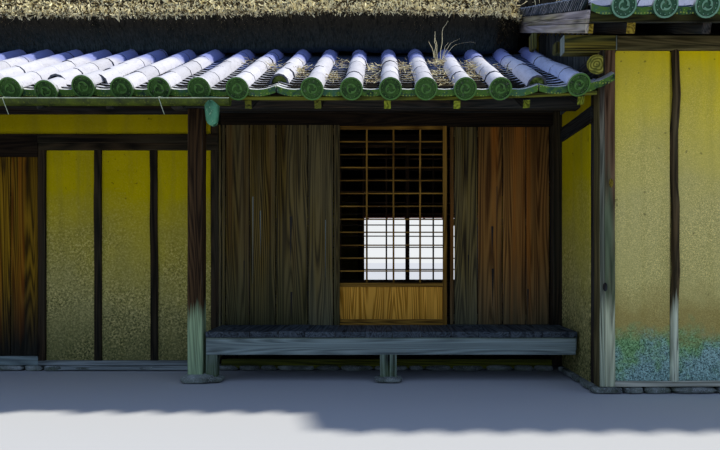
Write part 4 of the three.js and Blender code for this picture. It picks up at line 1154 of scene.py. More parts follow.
def lay_tiled_roof(name, sections, sizes):
    """The tiles of one roof: covers, end tiles and pans, on their bed of clay and boards."""
    near = name in ("pent_roof_front", "wing_roof")
    radius = sizes.cover_width / 2
    covers = {
        "whole": cover_shape(radius, 0.014, sizes.cover_length + 0.004, 6 if near else 5),
        "short": cover_shape(radius, 0.014, sizes.cover_length * 0.5, 5),
        "cap": cap_shape(radius + 0.002, 0.03),
        "plug": plug_shape(radius - 0.012),
    }
    pans = {
        "pan": pan_shape(sizes.row_pitch, sizes.pan_step * 1.7, sizes.pan_thickness, 0.022, 5 if near else 4),
        "eave": pan_shape(sizes.row_pitch, 0.12, 0.014, 0.026, 6 if near else 4, lip=0.046),
    }
    cover_pile, cap_pile, pan_pile = Pile(name), Pile(name, 1), Pile(name, 2)
    for section in sections:
        rows = row_places(section, sizes.row_pitch)
        lay_covers(cover_pile, cap_pile, section, rows, sizes, covers)
        lay_pans(pan_pile, section, rows, sizes, pans)
    wing = name == "wing_roof"
    cover, cap = ("wing cover clay", "wing cap clay") if wing else ("cover tile clay", "cap tile clay")
    cover_pile.piece(f"{name}_cover_tiles", [cover], "roof_tile", replaced=(name,))
    cap_pile.piece(f"{name}_end_tiles", [cap, "mossy clay"], "roof_tile")
    pan_pile.piece(f"{name}_pans", ["pan tile clay", "eave pan clay"], "roof_tile")


def lay_roof_deck(name, sections, eave_drop, eave_height):
    """The boards that carry the tiles, with the eave board in front and the clay bed on top."""
    pile = Pile(name, 3)
    under = -eave_drop
    for section in sections:
        full = RoofSide(section.corner, section.along, section.slope, section.length, 0, 0, section.mitres)
        full.slope, full.normal, full.longer = section.slope, section.normal, section.longer
        top = full_reach(section) * section.longer
        w = 0.1
        while w < top - 0.02:
            width = min(0.19, top - w)
            ends = full.ends(w + width)
            length = ends[1] - ends[0]
            shape = timber_shape((length, width - 0.003, 0.016), 0.002)
            middle = (ends[0] + ends[1]) / 2
            pile.lay(shape, full.matrix(middle, w + width / 2, under + 0.008))
            w += width
        ends = full.ends(0.1)
        length = ends[1] - ends[0]
        board = timber_shape((length, 0.05, eave_height), 0.003, rings=int(length), wane=0.003)
        pile.lay(board, full.matrix(sum(ends) / 2, 0.033, under + eave_height / 2), part=1)
        pile.lay(slope_slab(full, (0.03, top - 0.03), (under + 0.03, -0.03), 0.02), Matrix(), part=2)
    if name == "wing_roof":
        finishes = ["soffit wood", "wing eave wood", "roof clay"]
    else:
        finishes = ["dark timber", "eave wood", "sheltered roof clay"]
    pile.piece(f"{name}_deck", finishes, "dark_timber")


def lay_rafters(name, sections, spacing, size, drop, finishes, replaced=(), places=None, pale=(),
                bright=100):
    """Rafters under one roof. pale tells between which places their ends are of the second finish, and
    from bright on they are of the third."""
    pile = Pile(name, 4)
    for section in sections:
        wide, deep = size
        count = int(section.length / spacing)
        start = (section.length - count * spacing) / 2
        spots = places or [start + step * spacing for step in range(count + 1)]
        for u in spots:
            run = section.run(u, full_reach(section)) - 0.02
            if run < 0.2:
                continue
            shape = timber_shape((run - 0.012, wide, deep), 0.003, rings=2, wane=0.002, seed=u)
            pile.lay(shape, section.rafter_matrix(u, 0.012 + run / 2, -drop - deep / 2))
            cut = timber_shape((0.004, wide * 0.96, deep * 0.96), 0.001)
            part = 0 if pale and not pale[0] < u < pale[1] else 2 if u > bright else 1
            pile.lay(cut, section.rafter_matrix(u, 0.012, -drop - deep / 2), part=part)
    pile.piece(f"{name}_rafters", finishes, "dark_timber", replaced=replaced)


def lay_verge_boards():
    """Three stacked boards along each edge of the wing roof, under the lapping edges of its pans."""
    pile = Pile(79)
    wing = roof_sides()["wing_roof"][0]
    run = wing.reach * wing.longer
    for u, inward in ((-0.0127, 1), (wing.length + 0.0127, -1)):
        for n, depth, thick, start in (
            (-0.058, 0.054, 0.0245, 0.0), (-0.0985, 0.025, 0.021, 0.002), (-0.1425, 0.058, 0.0245, 0.006),
        ):
            shape = timber_shape((run - start, thick, depth), 0.003, rings=12, wane=0.003, seed=n * 90)
            pile.lay(shape, wing.rafter_matrix(u, start + (run - start) / 2, n))
        batten = timber_shape((run - 0.02, 0.032, 0.06), 0.002)
        pile.lay(batten, wing.rafter_matrix(u + inward * 0.029, 0.015 + (run - 0.02) / 2, -0.143), part=1)
    pile.piece("wing_verge_boards", ["verge wood", "golden end wood"], "dark_timber")
    edge = Pile(80)
    tile = timber_shape((0.13, 0.024, 0.014), 0.002)
    backing = timber_shape((run - 0.08, 0.004, 0.08), 0.001)
    step = 0.052
    for u in (-0.024, wing.length + 0.024):
        behind = u + math.copysign(0.014, -u)
        edge.lay(backing, wing.rafter_matrix(behind, 0.04 + (run - 0.08) / 2, 0.012), part=1)
        for index in range(int((run - 0.08) / step)):
            lean = Matrix.Rotation(0.6 + edge.rng.uniform(-0.05, 0.05), 4, "Y")
            edge.lay(tile, wing.rafter_matrix(u, 0.07 + index * step, 0.012) @ lean)
    edge.piece("wing_verge_tiles", ["verge tile clay", "roof clay"], "roof_tile")


def lift_corner(name):
    """The last rows of the porch roof ride up a little where they meet the wing."""
    for point in bpy.data.objects[name].data.vertices:
        along = min(1, max(0, (point.co.x - 3.34) / 0.7))
        down = min(1, max(0, (-5.4 - point.co.y) / 0.6))
        point.co.z += 0.045 * along * down


def lay_hips():
    """The ridges over the pent roof's three hips: two flat courses and a row of covers."""
    pile = Pile(71)
    cover = cover_shape(0.085, 0.015, 0.3, 6)
    cap = cap_shape(0.088, 0.03)
    for corner, direction in (
        ((EAVE_LEFT, -OVERHANG), (1, 1)),
        ((EAVE_LEFT, EAVE_BACK), (1, -1)),
        ((EAVE_RIGHT, EAVE_BACK), (-1, -1)),
    ):
        inward = Vector((*direction, 0)).normalized()
        along = inward.cross(Z)
        start = Vector((*corner, PENT_AXIS + 0.02))
        hip = RoofSide(start, along, inward, 1, PENT_PITCH / math.sqrt(2), PENT_REACH * math.sqrt(2))
        length = hip.reach * hip.longer - 0.12
        for level, (width, height) in enumerate(((0.26, 0.02), (0.21, 0.05), (0.17, 0.08))):
            steps = 9
            for step in range(steps):
                piece = length / steps
                shape = timber_shape((piece - 0.004, width, 0.026), 0.003)
                middle = 0.12 + (step + 0.5) * piece + (0.07 if level % 2 else 0)
                pile.lay(shape, hip.rafter_matrix(0, min(middle, length), height))
        w = 0.1
        while w < length:
            pile.lay(cover, hip.matrix(0, w, 0.1))
            w += 0.294
        pile.lay(cap, hip.matrix(0, 0.1, 0.1), part=1)
    pile.piece("hip_ridges", ["ridge tile clay", "cap tile clay"], "roof_tile")


def lay_main_ridge():
    """The tiled ridge on the thatch: pans down both sides, flat courses, covers and end plates."""
    low, high = plan_box("ridge_cap")
    middle = (low.y + high.y) / 2
    peak = high.z - 0.25
    length = high.x - low.x
    pile = Pile(83)
    pan = pan_shape(0.265, 0.3, 0.016, 0.02, 4)
    cover = cover_shape(0.06, 0.013, 0.26, 5)
    for along, inward in ((X, Y), (-X, -Y)):
        corner = Vector((low.x if along == X else high.x, middle, peak - 0.43)) - inward * 0.42
        skirt = RoofSide(corner, along, inward, length, 1.0, 0.4)
        rows = [0.12 + step * 0.265 for step in range(int((length - 0.1) / 0.265) + 1)]
        for u in rows:
            for step in range(4):
                pile.lay(pan, skirt.matrix(u + 0.13, 0.02 + step * 0.12, 0.06))
            for w in (0.0, 0.25):
                pile.lay(cover, skirt.matrix(u, w + 0.01, 0.075))
    steps = int(length / 0.3)
    piece = (length - 0.16) / steps
    for level in range(6):
        width = 0.34 - 0.022 * level
        shape = timber_shape((piece - 0.004, width, 0.03), 0.003)
        for step in range(steps):
            shift = piece / 2 if level % 2 else 0
            x = min(low.x + 0.08 + (step + 0.5) * piece + shift, high.x - 0.08 - piece / 2)
            pile.lay(shape, Matrix.Translation((x, middle, peak - 0.02 + 0.032 * level)))
    crown = cover_shape(0.075, 0.015, 0.29, 6)
    for step in range(int(length / 0.285)):
        quarter = Matrix.Rotation(-math.pi / 2, 4, "Z")
        spot = Matrix.Translation((low.x + 0.04 + step * 0.285, middle, peak + 0.17))
        pile.lay(crown, spot @ quarter)
    for x, turn in ((low.x + 0.03, -1), (high.x - 0.03, 1)):
        outward = Matrix.Rotation(turn * math.pi / 2, 4, "Z")
        pile.lay(end_plate_shape(), Matrix.Translation((x, middle, peak)) @ outward)
    pile.piece("main_ridge", ["ridge tile clay"], "roof_tile", replaced=("ridge_cap",))


def end_plate_shape():
    """A plain shield of fired clay that closes an end of the ridge. It faces -Y."""
    bm = bmesh.new()
    outline = [(-0.24, -0.2), (-0.17, -0.22), (-0.06, -0.12), (0.06, -0.12), (0.17, -0.22), (0.24, -0.2)]
    top = [(0.21 * math.cos(a), 0.02 + 0.22 * math.sin(a)) for a in [math.pi * s / 8 for s in range(9)]]
    ring = [bm.verts.new((x, 0.025, z)) for x, z in outline + top]
    made = bmesh.ops.extrude_face_region(bm, geom=[bm.faces.new(ring)])
    pull_out(bm, made, (0, -0.05, 0))
    faces = [f for f in made["geom"] if isinstance(f, bmesh.types.BMFace)]
    bmesh.ops.inset_region(bm, faces=faces, thickness=0.03, depth=0)
    bmesh.ops.inset_region(bm, faces=faces, thickness=0.004, depth=-0.012)
    bmesh.ops.recalc_face_normals(bm, faces=bm.faces)
    return Shape(bm)


# Thatch and straw


def settled(place):
    """How far the front eave has moved: it rises over the porch and is trimmed back over the wing."""
    near_eave = max(0.0, 1 - max(0.0, place.y - EDGE_INSET) / 1.2)
    rise = 0.035 * math.exp(-((place.x - 1.2) / 1.2) ** 2)
    trim = min(1.0, max(0.0, (place.x - 2.5) / 0.28))
    trim *= trim * (3 - 2 * trim)
    return Vector((0, 0.3 * trim * near_eave, (rise + 0.06 * trim) * near_eave))


THATCH_CELL = 0.2


def thatch_mesh(node, cell):
    """A copy of a thatch slope cut into a grid, roughened as bundled reed is. In front, its lowest reeds
    sag onto the tiles."""
    bm = new_copy(node)
    low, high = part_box(node)
    for axis, normal in enumerate((X, Y, Z)):
        count = int((high[axis] - low[axis]) / cell)
        for step in range(1, count):
            cut_through(bm, (low[axis] + (high[axis] - low[axis]) * step / count) * normal, normal)
    bmesh.ops.triangulate(bm, faces=[f for f in bm.faces if len(f.verts) > 4])
    for point in bm.verts:
        clump = noise.noise_vector(point.co * 3.1)
        tuft = noise.noise_vector(point.co * 11)
        if node == "thatch_front":
            lip = 0.06 if point.co.z < low.z + 0.01 else 0.0
            lip *= min(1.0, (point.co.x - low.x) / 0.6) * min(1.0, max(0.0, (3.6 - point.co.x) / 0.3))
            point.co += settled(point.co - PLAN_SHIFT) - lip * Z
        point.co += 0.022 * clump + 0.01 * tuft
    mesh = bpy.data.meshes.new(f"{node}_reeds")
    bm.to_mesh(mesh)
    bm.free()
    return mesh


def lay_thatch(node, reeds_along):
    """One slope of thatch. reeds_along is the axis of the plan that its reeds follow: 0 or 1."""
    mesh = thatch_mesh(node, THATCH_CELL)
    points = np.array([v.co for v in mesh.vertices])
    across = points[:, 1 - reeds_along]
    grain = np.stack([points[:, 2] * 1.41, across, points[:, reeds_along] * 0.4], axis=1)
    add_values(mesh, "grain", "FLOAT_VECTOR", "POINT", grain)
    # Painted shade kept in tint: the reeds near the eave are darker, as the shade between the straws laid on
    # them.
    eave_band = np.clip((3.72 - points[:, 2]) / 0.35, 0, 1)
    shade = 1 - 0.72 * eave_band
    mesh.update()
    # Painted shade kept in tint: the cut and the underside are dark, darkest at their foot; partly dirt in
    # the cut.
    for face in mesh.polygons:
        if face.normal.z < 0.2:
            lower = list(face.vertices)
            shade[lower] = 0.06 + 0.2 * np.clip((points[lower, 2] - 2.83) / 0.22, 0, 1)
    add_values(mesh, "tint", "FLOAT", "POINT", shade)
    add_piece(f"{node}_reeds", mesh, ["thatch reeds"], "root", (node,), 60)


def straw_shape(bend=0.0, tip=0.0):
    """A straw of unit length along X, thin and a little bent. Its far end is pointed or broken off."""
    bm = new_rod(1, 1.0, tip, 3, middle=0.5)
    if bend:
        cut_through(bm, (0.55, 0, 0), X)
        for point in bm.verts:
            point.co.z += bend * point.co.x ** 2
    return Shape(bm)


def straw_matrix(start, direction, length, thickness, roll):
    """Puts a straw that starts at a point and runs in a direction."""
    turn = direction.to_track_quat("X", "Z").to_matrix().to_4x4()
    size = Matrix.Diagonal((length, thickness, thickness, 1))
    return Matrix.Translation(start) @ turn @ Matrix.Rotation(roll, 4, "X") @ size


class ThatchSide:
    """One slope of thatch. u runs along its eave, w up the slope from the eave edge and n out of it."""

    def __init__(self, corner, along, outward, length, mitres=(True, True)):
        self.corner = Vector(corner)
        self.along = along
        self.down = (outward - Z).normalized()
        self.out = (outward + Z).normalized()
        self.length = length
        self.mitres = mitres

    def point(self, u, w, n=0.0):
        return self.corner + self.along * u - self.down * w + self.out * n

    def room(self, u, w):
        """Whether a place lies inside the slope's mitres."""
        cut = w / math.sqrt(2)
        left = not self.mitres[0] or u > cut
        right = not self.mitres[1] or u < self.length - cut
        return left and right


def lay_straw(name, side, count, band, seed, length=(0.08, 0.22), thick=(0.0022, 0.0045), limits=None,
              edge_share=0.3, fade=1.5, tangle=0.5, droop=0.55, move=None, dark_share=0.25, broken=False,
              rise=0.35):
    """Scatters straws down a slope, thickest at the eave, where they hang over the cut. A share of
    them are dark: aged straw, and also painted shade between the bright ones. Broken ones are blunt bits."""
    pile = Pile(seed)
    rng = pile.rng
    straws = [straw_shape(tip=0.75), straw_shape(5.0, 0.75)] if broken else [straw_shape()]
    u_low, u_high = limits or (0.0, side.length)
    laid = 0
    while laid < count:
        u = rng.uniform(u_low, u_high)
        at_edge = rng.random() < edge_share
        w = rng.uniform(-0.005, 0.04) if at_edge else rng.uniform(0, 1) ** fade * band
        if not side.room(u, w):
            continue
        laid += 1
        direction = side.down + side.along * rng.gauss(0, tangle) + side.out * rng.gauss(0.15, rise)
        tuft = noise.noise(Vector((u * 2.6, seed, 0))) + 0.6 * noise.noise(Vector((u * 9, seed, 4)))
        if at_edge:
            direction -= side.out * droop
        direction.normalize()
        clump = noise.noise(Vector((u * 9, w * 9, seed)))
        patch = noise.noise(Vector((u * 26, w * 26, seed)))
        size = rng.uniform(*length) * ((0.7 + 0.5 * tuft) if at_edge else 1)
        start = side.point(u, w, 0.012 + 0.02 * clump) - direction * size * 0.6
        if move:
            start += move(start)
        # Dark straws stand for aged straw and also for painted shade between the bright ones.
        dark_straw = rng.random() < dark_share - 0.5 * patch - 0.3 * clump
        tint = rng.uniform(0, 0.25) if dark_straw else rng.uniform(0.6, 1)
        matrix = straw_matrix(start, direction, size, rng.uniform(*thick), rng.uniform(0, 6))
        pile.lay(rng.choice(straws), matrix, tint=tint)
    pile.piece(name, ["straw"], "thatch", sharp=70)


def thatch_sides():
    left, right = HOUSE_LEFT + EDGE_INSET, HOUSE_RIGHT - EDGE_INSET
    front, back = EDGE_INSET, HOUSE_DEPTH - EDGE_INSET
    return {
        "front": ThatchSide((left, front, EDGE_Z), X, -Y, right - left),
        "right": ThatchSide((right, front, EDGE_Z), Y, X, back - front),
        "back": ThatchSide((right, back, EDGE_Z), -X, Y, right - left),
        "left": ThatchSide((left, back, EDGE_Z), -Y, -X, back - front),
    }


def lay_cut_ends(side, name, count, seed, limits=None):
    """Reed ends that stick out of the dark cut under the eave edge."""
    pile = Pile(seed)
    rng = pile.rng
    straw = straw_shape()
    u_low, u_high = limits or (0.05, side.length - 0.05)
    inward = (-side.out).normalized()
    for _ in range(count):
        u = rng.uniform(u_low, u_high)
        depth = rng.uniform(0, 0.3)
        start = side.point(u, 0, 0) + inward * depth - side.down * 0.03
        if name.startswith("front"):
            start += settled(start)
        direction = (side.down + side.along * rng.gauss(0, 0.4) + inward * rng.gauss(0.1, 0.4)).normalized()
        matrix = straw_matrix(start, direction, rng.uniform(0.02, 0.05), rng.uniform(0.002, 0.004), 0)
        pile.lay(straw, matrix, tint=rng.uniform(0, 1) ** 3 * max(0.2, 1 - 4.5 * depth))
    pile.piece(name, ["straw"], "thatch", sharp=70)


# Where fallen straw lies on the porch roof: place along the wall, way up the slope, spread and straws
STRAW_HEAPS = (
    (0.80, 0.70, 0.09, 110), (0.86, 0.42, 0.05, 50), (1.08, 0.31, 0.06, 80), (1.10, 1.05, 0.1, 60),
    (1.38, 0.22, 0.05, 70), (1.39, 0.77, 0.08, 70), (1.63, 0.88, 0.08, 130), (1.66, 0.3, 0.08, 40),
    (1.93, 1.10, 0.09, 180), (1.90, 0.10, 0.05, 70), (1.88, 0.5, 0.12, 70), (2.19, 0.9, 0.11, 170),
    (2.16, 0.4, 0.08, 50), (0.56, 0.9, 0.1, 70), (2.42, 0.8, 0.1, 40), (0.3, 1.1, 0.1, 30),
)
TUFT_STEMS = (
    (0.0, 0.12, 0.36), (-0.05, 0.02, 0.2), (-0.03, -0.1, 0.24), (0.03, 0.55, 0.26), (0.05, 0.9, 0.3),
    (0.02, 0.3, 0.18), (-0.06, -0.3, 0.14),
)


def stem_shape(lean, height):
    """One dry stem that stands up and leans over more and more, with bends at its nodes."""
    bm = bmesh.new()
    bmesh.ops.create_cone(
        bm, cap_ends=True, segments=4, radius1=0.0028, radius2=0.0014, depth=height,
        matrix=Matrix.Translation((0, 0, height / 2)),
    )
    for ring in range(9):
        cut_through(bm, (0, 0, height * (ring + 1) / 10), Z)
    for point in bm.verts:
        share = point.co.z / height
        kink = noise.noise_vector(Vector((share * 4, lean * 9, height * 30)))
        point.co.x += height * (lean * share ** 2 + 0.1 * share * kink.x)
        point.co.y += height * 0.12 * share * kink.y
        point.co.z -= height * max(0, lean) * 0.5 * share ** 3
    return Shape(bm)


def lay_debris(pent):
    """Straw that fell between the tile rows over the porch, and a few dry stems that stand up."""
    pile = Pile(97)
    rng = pile.rng
    straws = [straw_shape(bend, 0.45) for bend in (0.0, 8.0, -8.0)]
    for place, way, spread, count in STRAW_HEAPS:
        for _ in range(int(count * 0.65)):
            u = place - pent.corner.x + rng.gauss(0, 0.035)
            w = max(0.03, way + rng.gauss(0, spread))
            start = pent.point(u, w, 0.012 + abs(rng.gauss(0, 0.02)))
            direction = (pent.along * rng.gauss(0, 1) + pent.slope * rng.gauss(0, 1)).normalized()
            direction = (direction + pent.normal * rng.uniform(-0.1, 0.35)).normalized()
            size, thick = rng.uniform(0.02, 0.07), rng.uniform(0.0016, 0.0036)
            matrix = straw_matrix(start, direction, size, thick, rng.uniform(0, 6))
            pile.lay(rng.choice(straws), matrix, tint=rng.uniform(0.2, 0.95))
    for shift, lean, height in TUFT_STEMS:
        base = Matrix.Translation((1.95 + shift, 0.02 + shift, 2.68))
        pile.lay(stem_shape(lean, height), base, tint=0.75)
    pile.piece("fallen_straw", ["straw"], "thatch", sharp=70)


# Walls and timbers


def facing(outlook, face):
    """Gives x, y and z limits for a wall's own limits: u along it, v in from its face and z up."""
    def limits(u, v, z):
        inward = (face + v[0], face + v[1]) if outlook in ("front", "left") else (face - v[1], face - v[0])
        return (u, inward, z) if outlook in ("front", "back") else (inward, u, z)
    return limits


SILL_DEPTH = (-0.005, 0.1)
SILL_Z = (STONE_TOP, SILL_TOP)
PORCH_WALL_POST = (-0.026, 0.042)


def lay_wall_timbers(pile, side, span, ends=(), posts=(), halves=(), beams=(), top=WALL_TOP, depth=0.05,
                     half_top=None):
    """Sill, posts, half posts and beams of one wall."""
    lay_bar(pile, *side(span, SILL_DEPTH, SILL_Z), rings=8, wane=0.003, part=1)
    uprights = (STONE_TOP, top)
    for u in ends:
        lay_bar(pile, *side(u, (0, POST), uprights), rings=6, wane=0.003, chamfer=0.006)
    for u in posts:
        lay_bar(pile, *side(around(u, POST), (0, depth), uprights), rings=6, wane=0.003, chamfer=0.006)
    for u in halves:
        height = (STONE_TOP, half_top or top)
        lay_bar(pile, *side(around(u, HALF_POST), (0.005, depth), height), rings=11, wane=0.01)
    for face, z in beams:
        lay_bar(pile, *side(span, (face, depth), z), rings=8, wane=0.003, chamfer=0.006)


LOWER_BEAM = (-0.005, (BEAM[0], BEAM[1]))
UPPER_BEAM = (-0.014, (BEAM[1] - 0.003, BEAM[2]))
FAR_TOP = PENT_EAVE + PENT_PITCH * OVERHANG
FAR_DEPTH = 0.0247          # how deep the timbers of the other walls stand before their plaster


def steps_along(start, steps):
    return [start + step * QUARTER for step in steps]


def lay_front_timbers():
    side = facing("front", 0)
    left = Pile(11)
    lay_wall_timbers(
        left, side, (HOUSE_LEFT, ENTRANCE[0]),
        ends=((HOUSE_LEFT, HOUSE_LEFT + POST), (ENTRANCE[0] - POST, ENTRANCE[0])),
        posts=(-12 * QUARTER,), halves=steps_along(0, (-15, -14, -13, -11, -10, -9, -8)),
        beams=(LOWER_BEAM, UPPER_BEAM), half_top=BEAM[1],
    )
    left.piece("front_left_wall_timbers", ["front timber", "front sill wood"], "dark_timber",
               replaced=("front_left_timbers",))
    middle = Pile(12)
    lay_wall_timbers(
        middle, side, (ENTRANCE[1], 0.04), halves=(-1.0, -0.52), beams=(LOWER_BEAM, UPPER_BEAM),
        half_top=BEAM[1],
    )
    start, end = PORCH_WALL_POST
    jamb = (ENTRANCE[1], ENTRANCE[1] + POST / 2)
    lay_bar(middle, jamb, (-0.002, POST), (STONE_TOP, BEAM[1]), rings=6, wane=0.003)
    lay_bar(middle, (start, end), (0, POST), (STONE_TOP, WALL_TOP), rings=6, wane=0.003, chamfer=0.006)
    lay_bar(middle, (end, 0.0598), (0.004, 0.05), (0.1, 2.12), "z", part=2)
    lay_bar(middle, (-1.44, start), (-0.012, 0.03), (0.008, 0.046), rings=9, wane=0.004, part=1)
    middle.piece("front_middle_wall_timbers", ["front timber", "sill wood", "olive boards"], "dark_timber",
                 replaced=("front_middle_timbers",))
    strip = Pile(14)
    edge = -POST / 2 - 0.0002
    lay_bar(strip, (edge, start), (0.025, 0.095), (SILL_TOP, WALL_TOP), "z", chamfer=0.001)
    for span in ((HOUSE_LEFT + POST, -3.51), (-3.387, edge)):
        lay_bar(strip, span, (0.017, 0.0247), (BEAM[2] - 0.01, WALL_TOP), "x", chamfer=0.001)
    strip.piece("front_wall_plaster_edge", ["ochre plaster"], "plaster")
    plate = Pile(13)
    lay_bar(plate, (HOUSE_LEFT, 0.06), (0, POST), (WALL_TOP, PLATE_TOP), rings=12, wane=0.004)
    lay_bar(plate, (0.06, 2.9157), (0, POST), (2.2203, PLATE_TOP), rings=6, wane=0.004)
    plate.piece("front_wall_plate", ["dark timber"], "dark_timber", replaced=("front_top_plate",))


def lay_far_timbers():
    """The posts, sills, beams and plates of the left, right and back walls."""
    grid = POST / 2
    for name, side, start, span, count in (
        ("left", facing("left", HOUSE_LEFT), grid, (POST, HOUSE_DEPTH - POST), 21),
        ("right", facing("right", HOUSE_RIGHT), WING_FACE + grid, (WING_FACE + POST, HOUSE_DEPTH - POST), 23),
    ):
        pile = Pile(name)
        whole = steps_along(start, [step for step in range(1, count + 1) if step % 4 == 0])
        half = steps_along(start, [step for step in range(1, count + 1) if step % 4])
        lay_wall_timbers(pile, side, span, posts=whole, halves=half,
                         beams=(UPPER_BEAM, (0, (WALL_TOP, FAR_TOP))), top=FAR_TOP, depth=FAR_DEPTH)
        pile.piece(f"{name}_wall_timbers", ["dark timber", "sill wood"], "dark_timber",
                   replaced=(f"{name}_timbers",))
    side = facing("back", HOUSE_DEPTH)
    opening = BACK_OPENING
    jambs = ((opening[0] - POST, opening[0]), (opening[1], opening[1] + POST))
    corners = ((HOUSE_LEFT, HOUSE_LEFT + POST), (HOUSE_RIGHT - POST, HOUSE_RIGHT))
    near = (jambs[0][0] - 0.2, jambs[1][1] + 0.2)
    clear = [s for s in range(1, 28) if not near[0] < HOUSE_LEFT + grid + s * QUARTER < near[1]]
    pile = Pile(23)
    lay_wall_timbers(
        pile, side, (HOUSE_LEFT, HOUSE_RIGHT), ends=corners + jambs,
        posts=steps_along(HOUSE_LEFT + grid, [s for s in clear if s % 4 == 0]),
        halves=steps_along(HOUSE_LEFT + grid, [s for s in clear if s % 4]),
        beams=((0, (WALL_TOP, FAR_TOP)),), top=FAR_TOP, depth=FAR_DEPTH,
    )
    for span in ((HOUSE_LEFT, opening[0]), (opening[1], HOUSE_RIGHT)):
        lay_bar(pile, *side(span, (UPPER_BEAM[0], FAR_DEPTH), UPPER_BEAM[1]), rings=6, wane=0.003)
    lay_bar(pile, *side(opening, (0, 0.3), (1.995, 2.11)), rings=4, wane=0.003, part=2)
    lay_boards(pile, opening, side(opening, (0.03, 0.06), (0, 1))[1], (2.11, WALL_TOP), 0.24)
    lay_boards(pile, opening, side(opening, (0.02, 0.08), (0, 1))[1], (SILL_TOP - 0.005, 0.395), 0.24)
    lay_bar(pile, *side(opening, (0, POST), (0.39, 0.435)), rings=4, wane=0.003)
    pile.piece("back_wall_timbers", ["dark timber", "sill wood", "red lintel wood"], "dark_timber",
               replaced=("back_timbers",))


# Ends of purlins that show between the porch roof and the wing's roof, as their x, y and z limits
PURLIN_ENDS = (
    ((2.655, 2.7), (-0.36, -0.25), (2.66, 2.79)),
    ((2.752, 2.96), (-0.72, -0.63), (2.51, 2.6)),
)


def lay_wing_front():
    """The wing's front: thin crooked half posts on the sill and the plate above."""
    pile = Pile(31)
    side = facing("front", WING_FACE)
    lay_bar(pile, *side((3.1113, HOUSE_RIGHT), SILL_DEPTH, (0.053, 0.093)), rings=9, wane=0.004, part=1)
    corner = side((HOUSE_RIGHT - POST, HOUSE_RIGHT), (0, POST), (STONE_TOP, 2.452))
    lay_bar(pile, *corner, rings=6, wane=0.003)
    for step in range(5):
        x = 3.545 + step * QUARTER
        shape = log_shape(2.37, 0.03, 14, 0.026, pile.rng.uniform(0, 40))
        stood = Matrix.Translation((x, WING_FACE + 0.03, 0.09 + 2.37 / 2)) @ TURN_TO[2]
        pile.lay(shape, stood, part=2, tint=0.4)
    plate = plan_box("wing_front_timbers")
    z = (2.451, plate[1].z)
    seam = 3.125
    lay_bar(pile, (seam, plate[1].x), (WING_FACE, WING_FACE + POST), z, rings=9, wane=0.004, chamfer=0.008)
    end = (2.748, WING_FACE, WING_FACE + 0.1)
    lay_bar(pile, (end[0], seam - 0.005), end[1:], (z[0] - 0.02, z[1]), "x", rings=5, wane=0.005, part=3)
    lay_bar(pile, (end[0] - 0.003, end[0] + 0.004), end[1:], (z[0] - 0.018, z[1]), "z", part=4)
    lay_bar(pile, (seam - 0.005, seam), (end[1] - 0.002, end[2]), z, "z", part=4)
    for x, y, z in PURLIN_ENDS:
        lay_bar(pile, x, y, z, "z", rings=2, wane=0.004, chamfer=0.01, part=3, tint=0.1)
    finishes = ["plate timber", "wing sill wood", "wing post wood", "beam end wood", "weathered wood"]
    pile.piece("wing_front_wall_timbers", finishes, "dark_timber", replaced=("wing_front_timbers",))


def lay_wing_post():
    """The wing's squared corner post, worn pale along its edge, with two knots."""
    post = Pile(32)
    low, high = plan_box("wing_corner_post")
    edge = low.x + 0.028
    split = edge + 0.042
    depth, z = (low.y, high.y - 0.02), (low.z, high.z)
    for x, part in (
        ((edge, edge + 0.004), 4), ((edge + 0.0045, split - 0.0005), 1), ((split, high.x + 0.002), 0),
    ):
        lay_bar(post, x, depth, z, rings=14, wane=0.004, chamfer=0.004, part=part)
    for x, z, part in ((3.083, 1.503, 2), (3.04, 0.763, 3)):
        knot = Matrix.Translation((x, low.y - 0.001, z)) @ Matrix.Diagonal((1, 1, 2, 1)) @ TURN_TO[1]
        post.lay(log_shape(0.006, 0.016, 0, 0.0, z, segments=12), knot, part=part, centred=True)
    finishes = ["corner post wood", "post edge wood", "golden end wood", "dark timber", "plate timber"]
    post.piece("wing_corner_post_wood", finishes, "weathered_timber", replaced=("wing_corner_post",))


def lay_wing_log():
    """The log beam that ends in the return wall, with its sawn end."""
    log = Pile(33)
    low, high = plan_box("wing_log_beam")
    x, z = high.x - 0.075, (low.z + high.z) / 2 - 0.025
    taller = Matrix.Diagonal((1, 1, 0.95, 1))
    for y, part in (((low.y + high.y) / 2, 0), (low.y, 1)):
        length = 0.008 if part else high.y - low.y
        shape = trimmed_log_shape(length, 0.073 - 0.001 * part, 0.0425)
        log.lay(shape, Matrix.Translation((x, y, z)) @ taller @ TURN_TO[1], part=part, centred=part == 1)
    log.piece("wing_log_beam_wood", ["dark timber", "ringed end wood"], "weathered_timber",
              replaced=("wing_log_beam",))


def lay_return_timbers():
    """The half post and the beam of the return wall, and the boards of the wing's loft."""
    back = Pile(34)
    side = facing("left", RETURN_FACE)
    y = (WING_FACE + 0.142, -SEAT_GAP)
    lay_bar(back, *side((y[0], y[0] + 0.06), (0.03, 0.05), (STONE_TOP, 2.2)), rings=6, wane=0.004)
    lay_bar(back, *side(y, (0.012, 0.05), (1.965, 2.087)), rings=3, wane=0.003)
    back.piece("return_wall_timbers", ["dark timber"], "dark_timber", replaced=("return_timbers",))

    loft = Pile(35)
    loft.lay(wing_loft_shape(), Matrix.Translation(-PLAN_SHIFT))
    loft.piece("wing_loft_boards", ["weathered wood"], "weathered_timber", replaced=("wing_loft_wall",))


